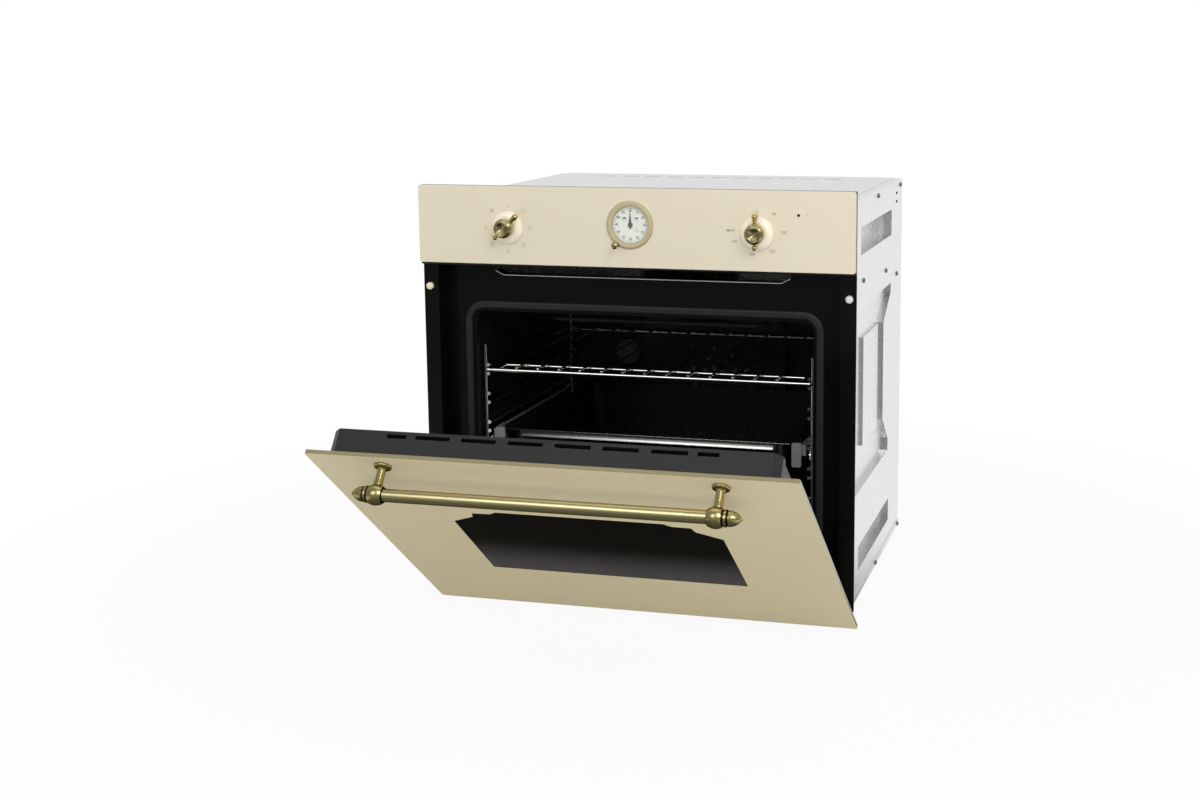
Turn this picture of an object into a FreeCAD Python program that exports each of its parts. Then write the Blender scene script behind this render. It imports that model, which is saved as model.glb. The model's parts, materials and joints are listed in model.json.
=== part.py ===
import FreeCAD, Part
import math
import os

# Built-in electric oven with a drop-down door, modelled with the door part open.
# Millimetres. X to the right, Y to the rear, Z up. The origin is the centre of the casing's underside.
# A "depth" is a distance behind the front plane of the closed door and the control panel.

V = FreeCAD.Vector

# Overall sizes
FRONT_W = 595.0
FRONT_H = 595.0
CASE_INSET = 18.5
CASE_BELOW_PANEL = 20.0
CASE_D = 516.0
DOOR_DROP = 20.0
SHEET = 1.0
FIT = 0.3
RUN_FIT = 0.05
TIP_FLAT = 0.4

# Control panel and door glass
PANEL_H = 104.0
PANEL_GAP = 4.0
GLASS_T = 5.0
GLASS_R = 3.0

# Front frame
FRONT_GAP = 13.0
FRAME_T = 1.2
PLATE_D = 44.0
FRAME_TO_PANEL = 3.0
SCREW_HOLE_R = 2.75
SCREW_HOLE_Z = 120.0
BUMPER_R = 5.0
BUMPER_BELOW_PANEL = 34.0
BUMPER_GAP = 1.0
AIR_SLOT_BELOW = 18.0
AIR_SLOT_HALF = 193.0
AIR_SLOT_SPLAY = 12.0
AIR_SLOT_RISE = 6.0
AIR_LIP = 4.0

# Cavity, gasket and insulation
CAV_ABOVE_RECESS = 20.0
CAV_BELOW_AIR = 50.0
CAV_REAR = 462.0
CAV_R = 14.0
LINER_FLANGE = 10.0
GASKET_W = 11.0
GASKET_OFFSET = 4.0
GASKET_H = 6.5
GASKET_ROUND = 3.0
INSULATION_T = 20.0
WOOL_GAP = 2.7
ELEMENT_SPACE = 14.0

# Casing pressings, given on the side sheets
TOP_FLANGE = 20.0
BASE_FLANGE = 9.0
DOOR_SWEEP_GAP = 2.0
GRIP_DEPTH = 18.0
GRIP_D = (150.0, 424.0)
UPPER_GRIP_BELOW = (39.0, 79.0)
LOWER_GRIP_Z = (35.0, 71.0)
PRESS_DEPTH = 8.0
PRESS_D0 = 100.0
PRESS_Z0 = 148.0
PRESS_BELOW = 150.0
PRESS_REAR_LOW = ((410.0, 0.0), (412.0, 20.0), (358.0, 60.0))
PRESS_REAR_HIGH = ((357.0, 52.0), (424.0, 15.0))
ISLAND_D = (203.0, 331.0)
ISLAND_RISE = 54.0
ISLAND_BELOW = 49.0
ISLAND_H = 4.0
VENT_SLOT = (15.0, 4.0)
VENT_SLOT_D = 472.0
VENT_SLOT_BELOW = (19.0, 32.0)
SIDE_SCREWS_BELOW = ((294.0, 9.0), (508.0, 9.0), (174.0, 115.0), (373.0, 126.0), (481.0, 144.0))
BASE_SCREW_D = (298.0, 516.0)
SCREW_R = 1.5
SCREW_HEAD_R = 3.6
SCREW_HEAD_H = 2.4
SCREW_LENGTH = 5.0
BACK_FLANGE = 24.0
TOP_SLOT = (26.0, 5.0)
TOP_SLOT_PITCH = 36.0
TOP_SLOT_SETBACK = 60.0
TOP_SLOTS = 11

# Door
DOOR_ANGLE = 52.6
HINGE_D = 12.0
HINGE_ABOVE_EDGE = 48.0
HINGE_PIN_R = 4.0
HINGE_LUG_R = 6.5
HINGE_TONGUE_T = 9.0
HINGE_CHEEK_T = 6.0
HINGE_BAR_H = 9.0
HINGE_BAR_GAP = 1.8
HINGE_FOOT_H = 33.0
HINGE_FOOT_T = 3.0
HINGE_TONGUE_H = 120.0
DOOR_INSET = 4.0
COLUMN_W = 28.5
COLUMN_DEPTH = 28.0
COLUMN_WALL = 1.5
INNER_GLASS_T = 4.0
INNER_GLASS_INSET = 2.5
DOOR_BODY_ABOVE_FRAME = 3.0
TRIM_H = 21.0
TRIM_BELOW_EDGE = 6.0
TRIM_WALL = 2.0
TRIM_SLOT_LONG = 43.0
TRIM_SLOT_SHORT = 25.0
TRIM_SLOT_W = 5.0
TRIM_SLOT_PITCH = 57.5
TRIM_SLOT_END = 189.0
TRIM_CORNER = 9.0
TRIM_LONG_SLOTS = 6
WINDOW_HALF = 174.0
WINDOW_Z = (137.0, 298.0)
WINDOW_CREST = ((143.0, 19.0), (140.0, 30.5), (116.0, 31.5), (107.0, 38.4))
WINDOW_FIT = 0.1

# Handle
HANDLE_HALF = 205.0
HANDLE_BELOW_EDGE = 22.5
HANDLE_STANDOFF = 37.5
HANDLE_BAR_R = 7.8
HANDLE_BALL_R = 12.5
HANDLE_NECK = 10.5
HANDLE_ROSE_R = 10.5
HANDLE_POST_R = 5.0
FINIAL_LENGTH = 30.0

# Knobs, clock and indicator on the panel
KNOB_X = 170.0
KNOB_BELOW = 55.0
KNOB_R = 13.0
KNOB_H = 23.5
LEVER_REACH = 26.0
BALL_REACH = 8.0
FUNCTION_TURN = 46.0
SKIRT_R = 22.0
SKIRT_H = 6.0
SPINDLE_R = 3.0
SPINDLE_HOLE_R = 5.0
SPINDLE_GRIP = 12.0
SWITCH_W = 44.0
SWITCH_D = 30.0
CLOCK_BELOW = 48.0
BEZEL_R = 31.5
DIAL_R = 23.5
BEZEL_H = 4.0
BEZEL_WALL = 2.5
DIAL_T = 1.0
DIAL_DEPTH = 2.0
HAND_T = 0.5
HAND_TAIL = 5.0
HAND_TIP = 0.2
MINUTE_HAND = 17.0
HOUR_HAND = 13.0
ARBOR_R = 1.5
LENS_T = 1.2
CLOCK_BODY_GAP = 1.0
CLOCK_BODY_D = 36.0
SET_KNOB_X = -16.5
SET_KNOB_BELOW = 74.0
SET_KNOB_R = 4.3
SET_KNOB_H = 18.0
SET_SHAFT_R = 2.0
LAMP_X = 224.0
LAMP_BELOW = 31.0
LAMP_R = 1.85
BRACKET_T = 1.2
BRACKET_EDGE = 5.0

# Racks, shelf, tray and runners
WIRE_R = 2.5
RACK_WALL_GAP = 2.0
RACK_D = (62.0, 420.0)
RACK_LEVELS = 6
RACK_PITCH = 40.5
RACK_FIRST = 106.5
RACK_PAIR = 12.5
RACK_RISE = 29.0
RACK_FOOT = 24.0
SHELF_LEVEL = 5
SHELF_RAIL_R = 3.0
SHELF_WIRE_R = 1.75
SHELF_D = (60.0, 424.0)
SHELF_WIRES = 13
SHELF_SIDE_INSET = 12.5
SHELF_END_GAP = 32.0
SHELF_SECOND_RAIL = 38.0
SHELF_SECOND_R = 2.4
TRAY_LEVEL = 3
TRAY_SIDE_GAP = 2.7
TRAY_D = (66.0, 416.0)
TRAY_DEPTH = 40.0
TRAY_R = 20.0
TRAY_RIM = 16.0
TRAY_LIP = 8.0
RUNNER_H = 14.0
RUNNER_T = 5.0
SLIDE_T = 8.5
RUNNER_D = (64.0, 420.0)
CLIP_INSET = 20.0
CLIP_LONG = 20.0
CLIP_HIGH = 7.0
CLIP_SEAT = 0.5
TAB_W = 13.0
TAB_H = 33.0
TAB_T = 3.5

# Heating, fan, lamp and sensor
ELEMENT_R = 3.25
ELEMENT_BEND = 15.0
GRILL_BELOW = 18.0
GRILL_LEGS = (30.0, 90.0, 150.0)
GRILL_RUN = (110.0, 130.0, 400.0)
TERMINAL_END = 478.0
FAN_R = 75.0
FAN_DEPTH = 18.0
FAN_BLADES = 8
FAN_SHAFT_R = 4.0
FAN_HUB_R = 12.0
BAFFLE_HALF = 115.0
BAFFLE_DEPTH = 30.0
BAFFLE_R = 30.0
BAFFLE_HOLE_R = 4.0
BAFFLE_RINGS = ((14.0, 6), (29.0, 12), (44.0, 18), (59.0, 12))
BAFFLE_GILLS = 5
BAFFLE_GILL_PITCH = 30.0
BAFFLE_GILL_H = 18.0
BAFFLE_GILL_INSET = (8.0, 6.0)
RING_R = 95.0
FAN_MOTOR_R = 40.0
FAN_MOTOR_D = 34.0
OVEN_LAMP_X = -150.0
OVEN_LAMP_RISE = 215.0
OVEN_LAMP_R = 24.0
OVEN_LAMP_H = 20.0
LAMP_HOLDER_R = 20.0
LAMP_HOLDER_D = 34.0
SENSOR_R = 3.0
SENSOR_LENGTH = 90.0
SENSOR_D = 300.0

# Cooling blower and mains terminal box
DUCT_H = 20.0
DUCT_LAP = 10.0
BLOWER_HALF = 75.0
BLOWER_D = (290.0, 440.0)
BLOWER_HEADROOM = 4.5
INLET_R = 12.0
INLET_CORNER = 2.0
ROTOR_R = 55.0
ROTOR_H = 60.0
ROTOR_BLADES = 16
ROTOR_SHAFT_R = 3.0
BLOWER_MOTOR_R = 35.0
BLOWER_MOTOR_H = 27.0
TERMINAL_W = 80.0
TERMINAL_INSET = 49.0
BACK_SLOT_ROWS = 6
BACK_SLOT_COLUMNS = 5
BACK_SLOT_PITCH_X = 46.0
BACK_SLOT_PITCH_Z = 12.0
BACK_SLOT_LONG = 32.0
BACK_SLOT_HIGH = 4.0
BACK_SLOT_BELOW = 70.0
TERMINAL_Z = (60.0, 130.0)
TERMINAL_DEPTH = 20.0
TERMINAL_WALL = 2.0
CABLE_R = 7.0
GLAND_R = 9.5
GLAND_H = 16.0

# Places worked out from the sizes
FRONT_Y = -CASE_D / 2 - FRONT_GAP
CASE_REAR = FRONT_GAP + CASE_D
CASE_X = FRONT_W / 2 - CASE_INSET
PANEL_Z1 = FRONT_H - DOOR_DROP
CASE_H = PANEL_Z1 - CASE_BELOW_PANEL
PANEL_Z0 = PANEL_Z1 - PANEL_H
DOOR_Z0 = -DOOR_DROP
DOOR_Z1 = PANEL_Z0 - PANEL_GAP
FRAME_Z1 = PANEL_Z0 - FRAME_TO_PANEL
HINGE_Z = DOOR_Z0 + HINGE_ABOVE_EDGE
OPEN_GLASS_Z1 = HINGE_Z - HINGE_D + GLASS_T
FRAME_Z0 = OPEN_GLASS_Z1 + DOOR_SWEEP_GAP
RECESS_Z0 = HINGE_Z + HINGE_BAR_H + HINGE_BAR_GAP + FRAME_T
BASE_FRONT = HINGE_D + math.hypot(HINGE_D, HINGE_ABOVE_EDGE) + DOOR_SWEEP_GAP
FLANGE_D = FRONT_GAP - FRAME_T
RECESS_X = CASE_X - SHEET - FIT - FRAME_T
PLATE_REAR = PLATE_D + FRAME_T
FLANGE_MID_X = (FRONT_W / 2 + CASE_X) / 2
AIR_Z0 = FRAME_Z1 - AIR_SLOT_BELOW
CAV_X = CASE_X - GRIP_DEPTH - SHEET - WOOL_GAP - INSULATION_T - FIT - SHEET
CAV_Z0 = RECESS_Z0 + CAV_ABOVE_RECESS
CAV_Z1 = AIR_Z0 - CAV_BELOW_AIR
CAV_H = CAV_Z1 - CAV_Z0
LINER_FLOOR = CAV_Z0 - SHEET
INS_TOP = CAV_Z1 + SHEET + FIT + INSULATION_T
INS_X = CAV_X + SHEET + FIT + INSULATION_T
INS_REAR = CAV_REAR + SHEET + FIT + INSULATION_T
INS_FLOOR = LINER_FLOOR - ELEMENT_SPACE
PRESS_Z1 = CASE_H - PRESS_BELOW
TERMINAL_X = (CASE_X - TERMINAL_INSET - TERMINAL_W, CASE_X - TERMINAL_INSET)
INNER_X = RECESS_X - DOOR_INSET
COLUMN_X = INNER_X - COLUMN_W
HINGE_X = INNER_X - COLUMN_W / 2
DOOR_BODY_Z0 = RECESS_Z0 + DOOR_BODY_ABOVE_FRAME
TRIM_Z1 = DOOR_Z1 - TRIM_BELOW_EDGE
TRIM_Z0 = TRIM_Z1 - TRIM_H
COLUMN_REAR = GLASS_T + COLUMN_DEPTH
DOOR_REAR = COLUMN_REAR + INNER_GLASS_T
HANDLE_Z = DOOR_Z1 - HANDLE_BELOW_EDGE
KNOB_Z = PANEL_Z1 - KNOB_BELOW
CLOCK_Z = PANEL_Z1 - CLOCK_BELOW
SET_KNOB_Z = PANEL_Z1 - SET_KNOB_BELOW
CLOCK_BODY_R = CASE_H - 2 * SHEET - CLOCK_Z - CLOCK_BODY_GAP
BRACKET_REAR = GLASS_T + BRACKET_T
DIAL_REAR = DIAL_DEPTH + DIAL_T
RACK_X = CAV_X - RACK_WALL_GAP - WIRE_R
RAIL_X = RACK_X - 2 * WIRE_R + 0.5
RACK_TOP = RACK_FIRST + RACK_PITCH * (RACK_LEVELS - 1) + RACK_PAIR + RACK_RISE
SHELF_Z = RACK_FIRST + RACK_PITCH * SHELF_LEVEL + WIRE_R + SHELF_RAIL_R + FIT
SHELF_HALF = RACK_X - WIRE_R - 0.5
SHELF_SIDE = SHELF_HALF - SHELF_SIDE_INSET
SHELF_WIRE_PITCH = 2 * (SHELF_SIDE - SHELF_END_GAP) / (SHELF_WIRES - 1)
RUNNER_X1 = RAIL_X - WIRE_R - 2.5
RUNNER_X0 = RUNNER_X1 - RUNNER_T
SLIDE_X1 = RUNNER_X0 - FIT
SLIDE_X0 = SLIDE_X1 - SLIDE_T
TRAY_HALF = SLIDE_X1 - TRAY_SIDE_GAP - TRAY_RIM
TRAY_SUPPORT_Z = RACK_FIRST + RACK_PITCH * TRAY_LEVEL
RUNNER_Z1 = TRAY_SUPPORT_Z + WIRE_R
RUNNER_Z0 = RUNNER_Z1 - RUNNER_H
TRAY_Z1 = RUNNER_Z1 + FIT
FAN_Z = CAV_Z0 + CAV_H / 2
BAFFLE_D = CAV_REAR - BAFFLE_DEPTH
FAN_D = BAFFLE_D + 5.0
RING_D = CAV_REAR - BAFFLE_DEPTH / 2
OVEN_LAMP_Z = CAV_Z0 + OVEN_LAMP_RISE
GRILL_Z = CAV_Z1 - GRILL_BELOW
BOTTOM_Z = INS_FLOOR + ELEMENT_R + FIT
MOTOR_D = INS_REAR + 6.0
DUCT_Z0 = AIR_Z0 - SHEET
DUCT_FRONT = PLATE_REAR + 16.0
BLOWER_MID_D = (BLOWER_D[0] + BLOWER_D[1]) / 2
BLOWER_Z0 = INS_TOP + FIT
BLOWER_Z1 = CASE_H - 2 * SHEET - BLOWER_HEADROOM - BLOWER_MOTOR_H
DUCT_REAR = BLOWER_D[0] + DUCT_LAP


def at(x, depth, z):
    """Point at x, at a depth behind the front plane and at height z."""
    return V(x, FRONT_Y + depth, z)


def block(x, depth, z):
    """Box between two values of x, of depth and of z."""
    return Part.makeBox(x[1] - x[0], depth[1] - depth[0], z[1] - z[0], at(x[0], depth[0], z[0]))


def rod(start, end, radius):
    """Round rod between two (x, depth, z) points."""
    first = at(*start)
    run = at(*end) - first
    return Part.makeCylinder(radius, run.Length, first, run)


def front_prism(points, depth):
    """Prism of an (x, z) outline between two depths."""
    corners = [at(x, depth[0], z) for x, z in points]
    face = Part.Face(Part.makePolygon(corners + corners[:1]))
    return face.extrude(V(0, depth[1] - depth[0], 0))


def side_prism(points, x):
    """Prism of a (depth, z) outline between two values of x."""
    corners = [at(x[0], depth, z) for depth, z in points]
    face = Part.Face(Part.makePolygon(corners + corners[:1]))
    return face.extrude(V(x[1] - x[0], 0, 0))


def edges_along(shape, axis):
    """Straight edges of a shape that run along a unit axis."""
    found = []
    for edge in shape.Edges:
        run = edge.Vertexes[-1].Point - edge.Vertexes[0].Point
        if run.Length > 0 and abs(run.dot(axis)) > 0.999 * run.Length:
            found.append(edge)
    return found


def rounded_plate(x, depth, z, radius):
    """Plate seen from the front with rounded corners."""
    plate = block(x, depth, z)
    return plate.makeFillet(radius, edges_along(plate, V(0, 1, 0)))


def turned(profile, centre, axis):
    """Solid of revolution of (radius, offset) points about an axis; an "arc" entry gives mid and end."""
    edges = []
    here = V(profile[0][0], 0, profile[0][1])
    first = here
    for step in profile[1:]:
        if step[0] == "arc":
            middle = V(step[1][0], 0, step[1][1])
            there = V(step[2][0], 0, step[2][1])
            edges.append(Part.Arc(here, middle, there).toShape())
        else:
            there = V(step[0], 0, step[1])
            edges.append(Part.LineSegment(here, there).toShape())
        here = there
    edges.append(Part.LineSegment(here, first).toShape())
    solid = Part.Face(Part.Wire(edges)).revolve(V(0, 0, 0), V(0, 0, 1), 360)
    solid.Placement = FreeCAD.Placement(centre, FreeCAD.Rotation(V(0, 0, 1), axis))
    return solid


def bent_rod(points, radius, bend):
    """Round rod along straight runs joined by tangent bends."""
    path = [at(*point) for point in points]
    edges = []
    here = path[0]
    for before, corner, after in zip(path, path[1:], path[2:]):
        back = (before - corner).normalize()
        ahead = (after - corner).normalize()
        half = math.acos(back.dot(ahead)) / 2
        reach = bend / math.tan(half)
        start = corner + back * reach
        end = corner + ahead * reach
        inward = (back + ahead).normalize()
        centre = corner + inward * (bend / math.sin(half))
        edges.append(Part.LineSegment(here, start).toShape())
        edges.append(Part.Arc(start, centre - inward * bend, end).toShape())
        here = end
    edges.append(Part.LineSegment(here, path[-1]).toShape())
    ring = Part.Wire(Part.makeCircle(radius, path[0], path[1] - path[0]))
    return Part.Wire(edges).makePipeShell([ring], True, False)


def mirrored(shape):
    """The same piece on the other side of the centre plane."""
    return shape.mirror(V(0, 0, 0), V(1, 0, 0))


def pair(shape):
    """A right-hand piece with its left-hand twin."""
    return Part.Compound([shape, mirrored(shape)])


def opened(shape):
    """A piece of the closed door, swung to the angle at which the door rests."""
    turned_shape = shape.copy()
    turned_shape.rotate(at(0, HINGE_D, HINGE_Z), V(1, 0, 0), DOOR_ANGLE)
    return turned_shape


def fused(shapes):
    """One solid made of several that touch."""
    return shapes[0].multiFuse(shapes[1:]).removeSplitter()


def grip_heights():
    """Lower and upper edges of the two hand-holds on each side."""
    upper = (CASE_H - UPPER_GRIP_BELOW[1], CASE_H - UPPER_GRIP_BELOW[0])
    return (upper, LOWER_GRIP_Z)


def side_screw_places():
    """Depth and height of the screws in each side sheet."""
    return [(depth, CASE_H - below) for depth, below in SIDE_SCREWS_BELOW]


def base_screw_places():
    """Depth and height of the screws in the base's upturned edges."""
    return [(depth, BASE_FLANGE / 2) for depth in BASE_SCREW_D]


def screw_holes(x, places):
    """Clearance holes for screws that run along X."""
    return [rod((x[0], d, z), (x[1], d, z), SCREW_R + FIT) for d, z in places]


def case_side():
    """Right-hand side sheet with its pressed panel, hand-holds and folded top edge."""
    outer = (CASE_X - SHEET, CASE_X)
    top = CASE_H - SHEET
    sheet = block(outer, (FRONT_GAP, CASE_REAR), (SHEET, top))
    sheet = sheet.fuse(block((CASE_X - TOP_FLANGE, CASE_X), (FRONT_GAP, CASE_REAR), (top - SHEET, top)))
    notch = (FRONT_GAP - 1, BASE_FRONT)
    sheet = sheet.cut(block((CASE_X - 5, CASE_X + 1), notch, (0, FRAME_Z0 + SHEET)))
    rear = [(depth, PRESS_Z0 + rise) for depth, rise in PRESS_REAR_LOW]
    rear += [(depth, PRESS_Z1 - below) for depth, below in PRESS_REAR_HIGH]
    outline = [(PRESS_D0, PRESS_Z0)] + rear + [(rear[-1][0], PRESS_Z1), (PRESS_D0, PRESS_Z1)]
    floor_x = CASE_X - PRESS_DEPTH
    pan = side_prism(outline, (floor_x - SHEET, CASE_X)).cut(side_prism(outline, (floor_x, CASE_X + 1)))
    wall = side_prism(outline, (floor_x, CASE_X))
    island = (ISLAND_D, (PRESS_Z0 + ISLAND_RISE, PRESS_Z1 - ISLAND_BELOW))
    inner_d = (ISLAND_D[0] + SHEET, ISLAND_D[1] - SHEET)
    inner_z = (island[1][0] + SHEET, island[1][1] - SHEET)
    cap = block((floor_x - SHEET, floor_x + ISLAND_H), *island)
    hollow = block((floor_x - SHEET - 1, floor_x + ISLAND_H - SHEET), inner_d, inner_z)
    cap = cap.cut(hollow)
    rim = wall.cut(side_prism(shrunk(outline, SHEET), (floor_x - 1, CASE_X + 1)))
    pan = pan.cut(block((floor_x - SHEET - 1, CASE_X + 1), *island))
    sheet = sheet.cut(side_prism(shrunk(outline, SHEET), (CASE_X - SHEET - 1, CASE_X + 1)))
    pieces = [sheet, rim, pan, cap]
    for z in grip_heights():
        pieces[0] = pieces[0].cut(block((CASE_X - SHEET - 1, CASE_X + 1), GRIP_D, z))
        pieces.append(grip_pocket(z))
    side = fused(pieces)
    for below in VENT_SLOT_BELOW:
        slot_d = (VENT_SLOT_D - VENT_SLOT[0] / 2, VENT_SLOT_D + VENT_SLOT[0] / 2)
        slot_z = (CASE_H - below - VENT_SLOT[1] / 2, CASE_H - below + VENT_SLOT[1] / 2)
        side = side.cut(block((CASE_X - SHEET - 1, CASE_X + 1), slot_d, slot_z))
    places = side_screw_places() + base_screw_places()
    return side.cut(screw_holes((CASE_X - SHEET - 1, CASE_X + 1), places))


def shrunk(outline, by):
    """Outline drawn in by a wall's thickness, on the plane of the side sheet."""
    corners = [V(depth, z, 0) for depth, z in outline]
    wire = Part.makePolygon(corners + corners[:1])
    inner = Part.Face(wire).makeOffset2D(-by, 2)
    points = [vertex.Point for vertex in inner.OuterWire.OrderedVertexes]
    return [(point.x, point.y) for point in points]


def grip_pocket(z):
    """Pressed pocket of one hand-hold, open to the outside."""
    inner_x = CASE_X - GRIP_DEPTH
    shell = block((inner_x - SHEET, CASE_X), GRIP_D, z)
    deep = block((inner_x, CASE_X + 1), (GRIP_D[0] + SHEET, GRIP_D[1] - SHEET), (z[0] + SHEET, z[1] - SHEET))
    return shell.cut(deep)


def case_top():
    """Top cover lying on the folded edges of the sides, with a row of vent slots at the rear."""
    half = CASE_X - TOP_FLANGE + 6
    cover = block((-half, half), (FRONT_GAP, CASE_REAR), (CASE_H - SHEET, CASE_H))
    slots = []
    start = CASE_REAR - TOP_SLOT_SETBACK
    for step in range(TOP_SLOTS):
        x = (step - (TOP_SLOTS - 1) / 2) * TOP_SLOT_PITCH
        slot_x = (x - TOP_SLOT[0] / 2, x + TOP_SLOT[0] / 2)
        slots.append(block(slot_x, (start, start + TOP_SLOT[1]), (CASE_H - SHEET - 1, CASE_H + 1)))
    return cover.cut(slots)


def case_base():
    """Base tray with edges turned up outside the sides; its front edge is set back for the door."""
    depth = (BASE_FRONT, CASE_REAR)
    outer = CASE_X + SHEET
    tray = block((-outer, outer), depth, (0, SHEET))
    for x in ((CASE_X, outer), (-outer, -CASE_X)):
        tray = tray.fuse(block(x, depth, (0, BASE_FLANGE)))
    return tray.cut(screw_holes((-outer - 1, outer + 1), base_screw_places()))


def case_back():
    """Rear sheet with folded side edges, vent slots and a cable hole behind the terminal box."""
    half = CASE_X - SHEET
    z = (SHEET, CASE_H - 2 * SHEET)
    back = block((-half, half), (CASE_REAR - SHEET, CASE_REAR), z)
    for x in ((half - SHEET, half), (-half, SHEET - half)):
        back = back.fuse(block(x, (CASE_REAR - BACK_FLANGE, CASE_REAR), z))
    cuts = screw_holes((-CASE_X, CASE_X), side_screw_places() + base_screw_places())
    for row in range(BACK_SLOT_ROWS):
        for column in range(BACK_SLOT_COLUMNS):
            x = (column - (BACK_SLOT_COLUMNS - 1) / 2) * BACK_SLOT_PITCH_X
            slot_x = (x - BACK_SLOT_LONG / 2, x + BACK_SLOT_LONG / 2)
            slot_z = CASE_H - BACK_SLOT_BELOW - row * BACK_SLOT_PITCH_Z
            cuts.append(block(slot_x, (CASE_REAR - 2, CASE_REAR + 1), (slot_z, slot_z + BACK_SLOT_HIGH)))
    middle_x = (TERMINAL_X[0] + TERMINAL_X[1]) / 2
    middle_z = (TERMINAL_Z[0] + TERMINAL_Z[1]) / 2
    cuts.append(rod((middle_x, CASE_REAR - 2, middle_z), (middle_x, CASE_REAR + 1, middle_z), CABLE_R))
    return back.cut(cuts)


def case_screws():
    """Pan-head screws through both sides and through the base's turned-up edges."""
    screws = []
    for seat, places in ((CASE_X, side_screw_places()), (CASE_X + SHEET, base_screw_places())):
        for depth, z in places:
            head_top = SCREW_HEAD_H
            profile = [(0, -SCREW_LENGTH), (SCREW_R, -SCREW_LENGTH), (SCREW_R, 0), (SCREW_HEAD_R, 0),
                       (SCREW_HEAD_R, head_top * 0.4),
                       ("arc", (SCREW_HEAD_R * 0.7, head_top * 0.85), (TIP_FLAT, head_top)), (0, head_top)]
            screw = turned(profile, at(seat, depth, z), V(1, 0, 0))
            screws.append(screw)
            screws.append(mirrored(screw))
    return Part.Compound(screws)


def air_slot_outline(inset):
    """Front view of the cooling-air outlet under the panel, drawn in by an inset."""
    half = AIR_SLOT_HALF - inset / 2
    wide = AIR_SLOT_HALF + AIR_SLOT_SPLAY - inset
    low = AIR_Z0 + inset
    high = FRAME_Z1 - FRAME_TO_PANEL - inset
    bend = AIR_Z0 + AIR_SLOT_RISE + inset / 2
    return [(-half, low), (half, low), (wide, bend), (wide, high), (-wide, high), (-wide, bend)]


def front_frame():
    """Black enamelled frame: outer flange, recess for the door and the plate around the cavity mouth."""
    half = FRONT_W / 2
    wall_x = RECESS_X + FRAME_T
    flange = block((-half, half), (FLANGE_D, FRONT_GAP), (FRAME_Z0, FRAME_Z1))
    recess = block((-wall_x, wall_x), (FLANGE_D, PLATE_REAR), (RECESS_Z0 - FRAME_T, FRAME_Z1))
    inside = block((-RECESS_X, RECESS_X), (FLANGE_D - 1, PLATE_D), (RECESS_Z0, FRAME_Z1 - FRAME_T))
    frame = flange.fuse(recess).cut(inside)
    mouth = rounded_plate((-CAV_X, CAV_X), (PLATE_D - 1, PLATE_REAR + 1), (CAV_Z0, CAV_Z1), CAV_R)
    cuts = [mouth, front_prism(air_slot_outline(0), (PLATE_D - 1, PLATE_REAR + 1))]
    notch_half = HINGE_TONGUE_T / 2 + HINGE_CHEEK_T + 1
    notch_x = (HINGE_X - notch_half, HINGE_X + notch_half)
    notch_d = (FLANGE_D - 1, HINGE_D + HINGE_LUG_R + 5)
    notch = block(notch_x, notch_d, (FRAME_Z0 - 1, RECESS_Z0 + 1))
    through = (FLANGE_D - 1, FRONT_GAP + 1)
    hole_ends = [(FLANGE_MID_X, depth, SCREW_HOLE_Z) for depth in through]
    hole = rod(*hole_ends, SCREW_HOLE_R)
    cuts += [notch, mirrored(notch), hole, mirrored(hole)]
    return frame.cut(cuts)


def door_bumpers():
    """Soft buttons on the flange that the closing door glass lands on."""
    height = FLANGE_D - GLASS_T - BUMPER_GAP
    profile = [(0, 0), (BUMPER_R, 0), (BUMPER_R, height * 0.6),
               ("arc", (BUMPER_R * 0.72, height * 0.93), (TIP_FLAT, height)), (0, height)]
    place = at(FLANGE_MID_X, FLANGE_D, PANEL_Z0 - BUMPER_BELOW_PANEL)
    return pair(turned(profile, place, V(0, -1, 0)))


def air_deflector():
    """Folded lip that guides the cooling air out under the panel."""
    low = air_slot_outline(FIT)[:3] + air_slot_outline(FIT)[5:]
    left, right, right_end, left_end = low
    up = SHEET
    outline = [left_end, left, right, right_end,
               (right_end[0], right_end[1] + up * 1.2), (right[0], right[1] + up),
               (left[0], left[1] + up), (left_end[0], left_end[1] + up * 1.2)]
    return front_prism(outline, (PLATE_D - AIR_LIP, DUCT_FRONT))


def cavity_liner():
    """Enamelled cavity box, open at the front, with a flange against the frame plate."""
    box = rounded_plate((-CAV_X - SHEET, CAV_X + SHEET), (PLATE_REAR, CAV_REAR + SHEET),
                        (LINER_FLOOR, CAV_Z1 + SHEET), CAV_R + SHEET)
    flange = rounded_plate((-CAV_X - LINER_FLANGE, CAV_X + LINER_FLANGE), (PLATE_REAR, PLATE_REAR + SHEET),
                           (CAV_Z0 - LINER_FLANGE, CAV_Z1 + LINER_FLANGE), CAV_R + LINER_FLANGE)
    inside = rounded_plate((-CAV_X, CAV_X), (PLATE_REAR - 1, CAV_REAR), (CAV_Z0, CAV_Z1), CAV_R)
    liner = box.fuse(flange).cut(inside)
    return liner.cut(rear_holes((CAV_REAR - 1, CAV_REAR + SHEET + 1), FIT) + rack_screw_holes())


def rear_holes(depth, clearance):
    """Holes through the rear wall for the fan shaft, the lamp and the heating elements' legs."""
    holes = [rod((0, depth[0], FAN_Z), (0, depth[1], FAN_Z), FAN_SHAFT_R + 3 + clearance),
             rod((OVEN_LAMP_X, depth[0], OVEN_LAMP_Z), (OVEN_LAMP_X, depth[1], OVEN_LAMP_Z),
                 LAMP_HOLDER_R + clearance)]
    for x, z in ((GRILL_LEGS[0], GRILL_Z), (GRILL_LEGS[0], FAN_Z + RING_R)):
        holes.append(rod((x, depth[0], z), (x, depth[1], z), ELEMENT_R + clearance))
        holes.append(rod((-x, depth[0], z), (-x, depth[1], z), ELEMENT_R + clearance))
    return holes


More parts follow.
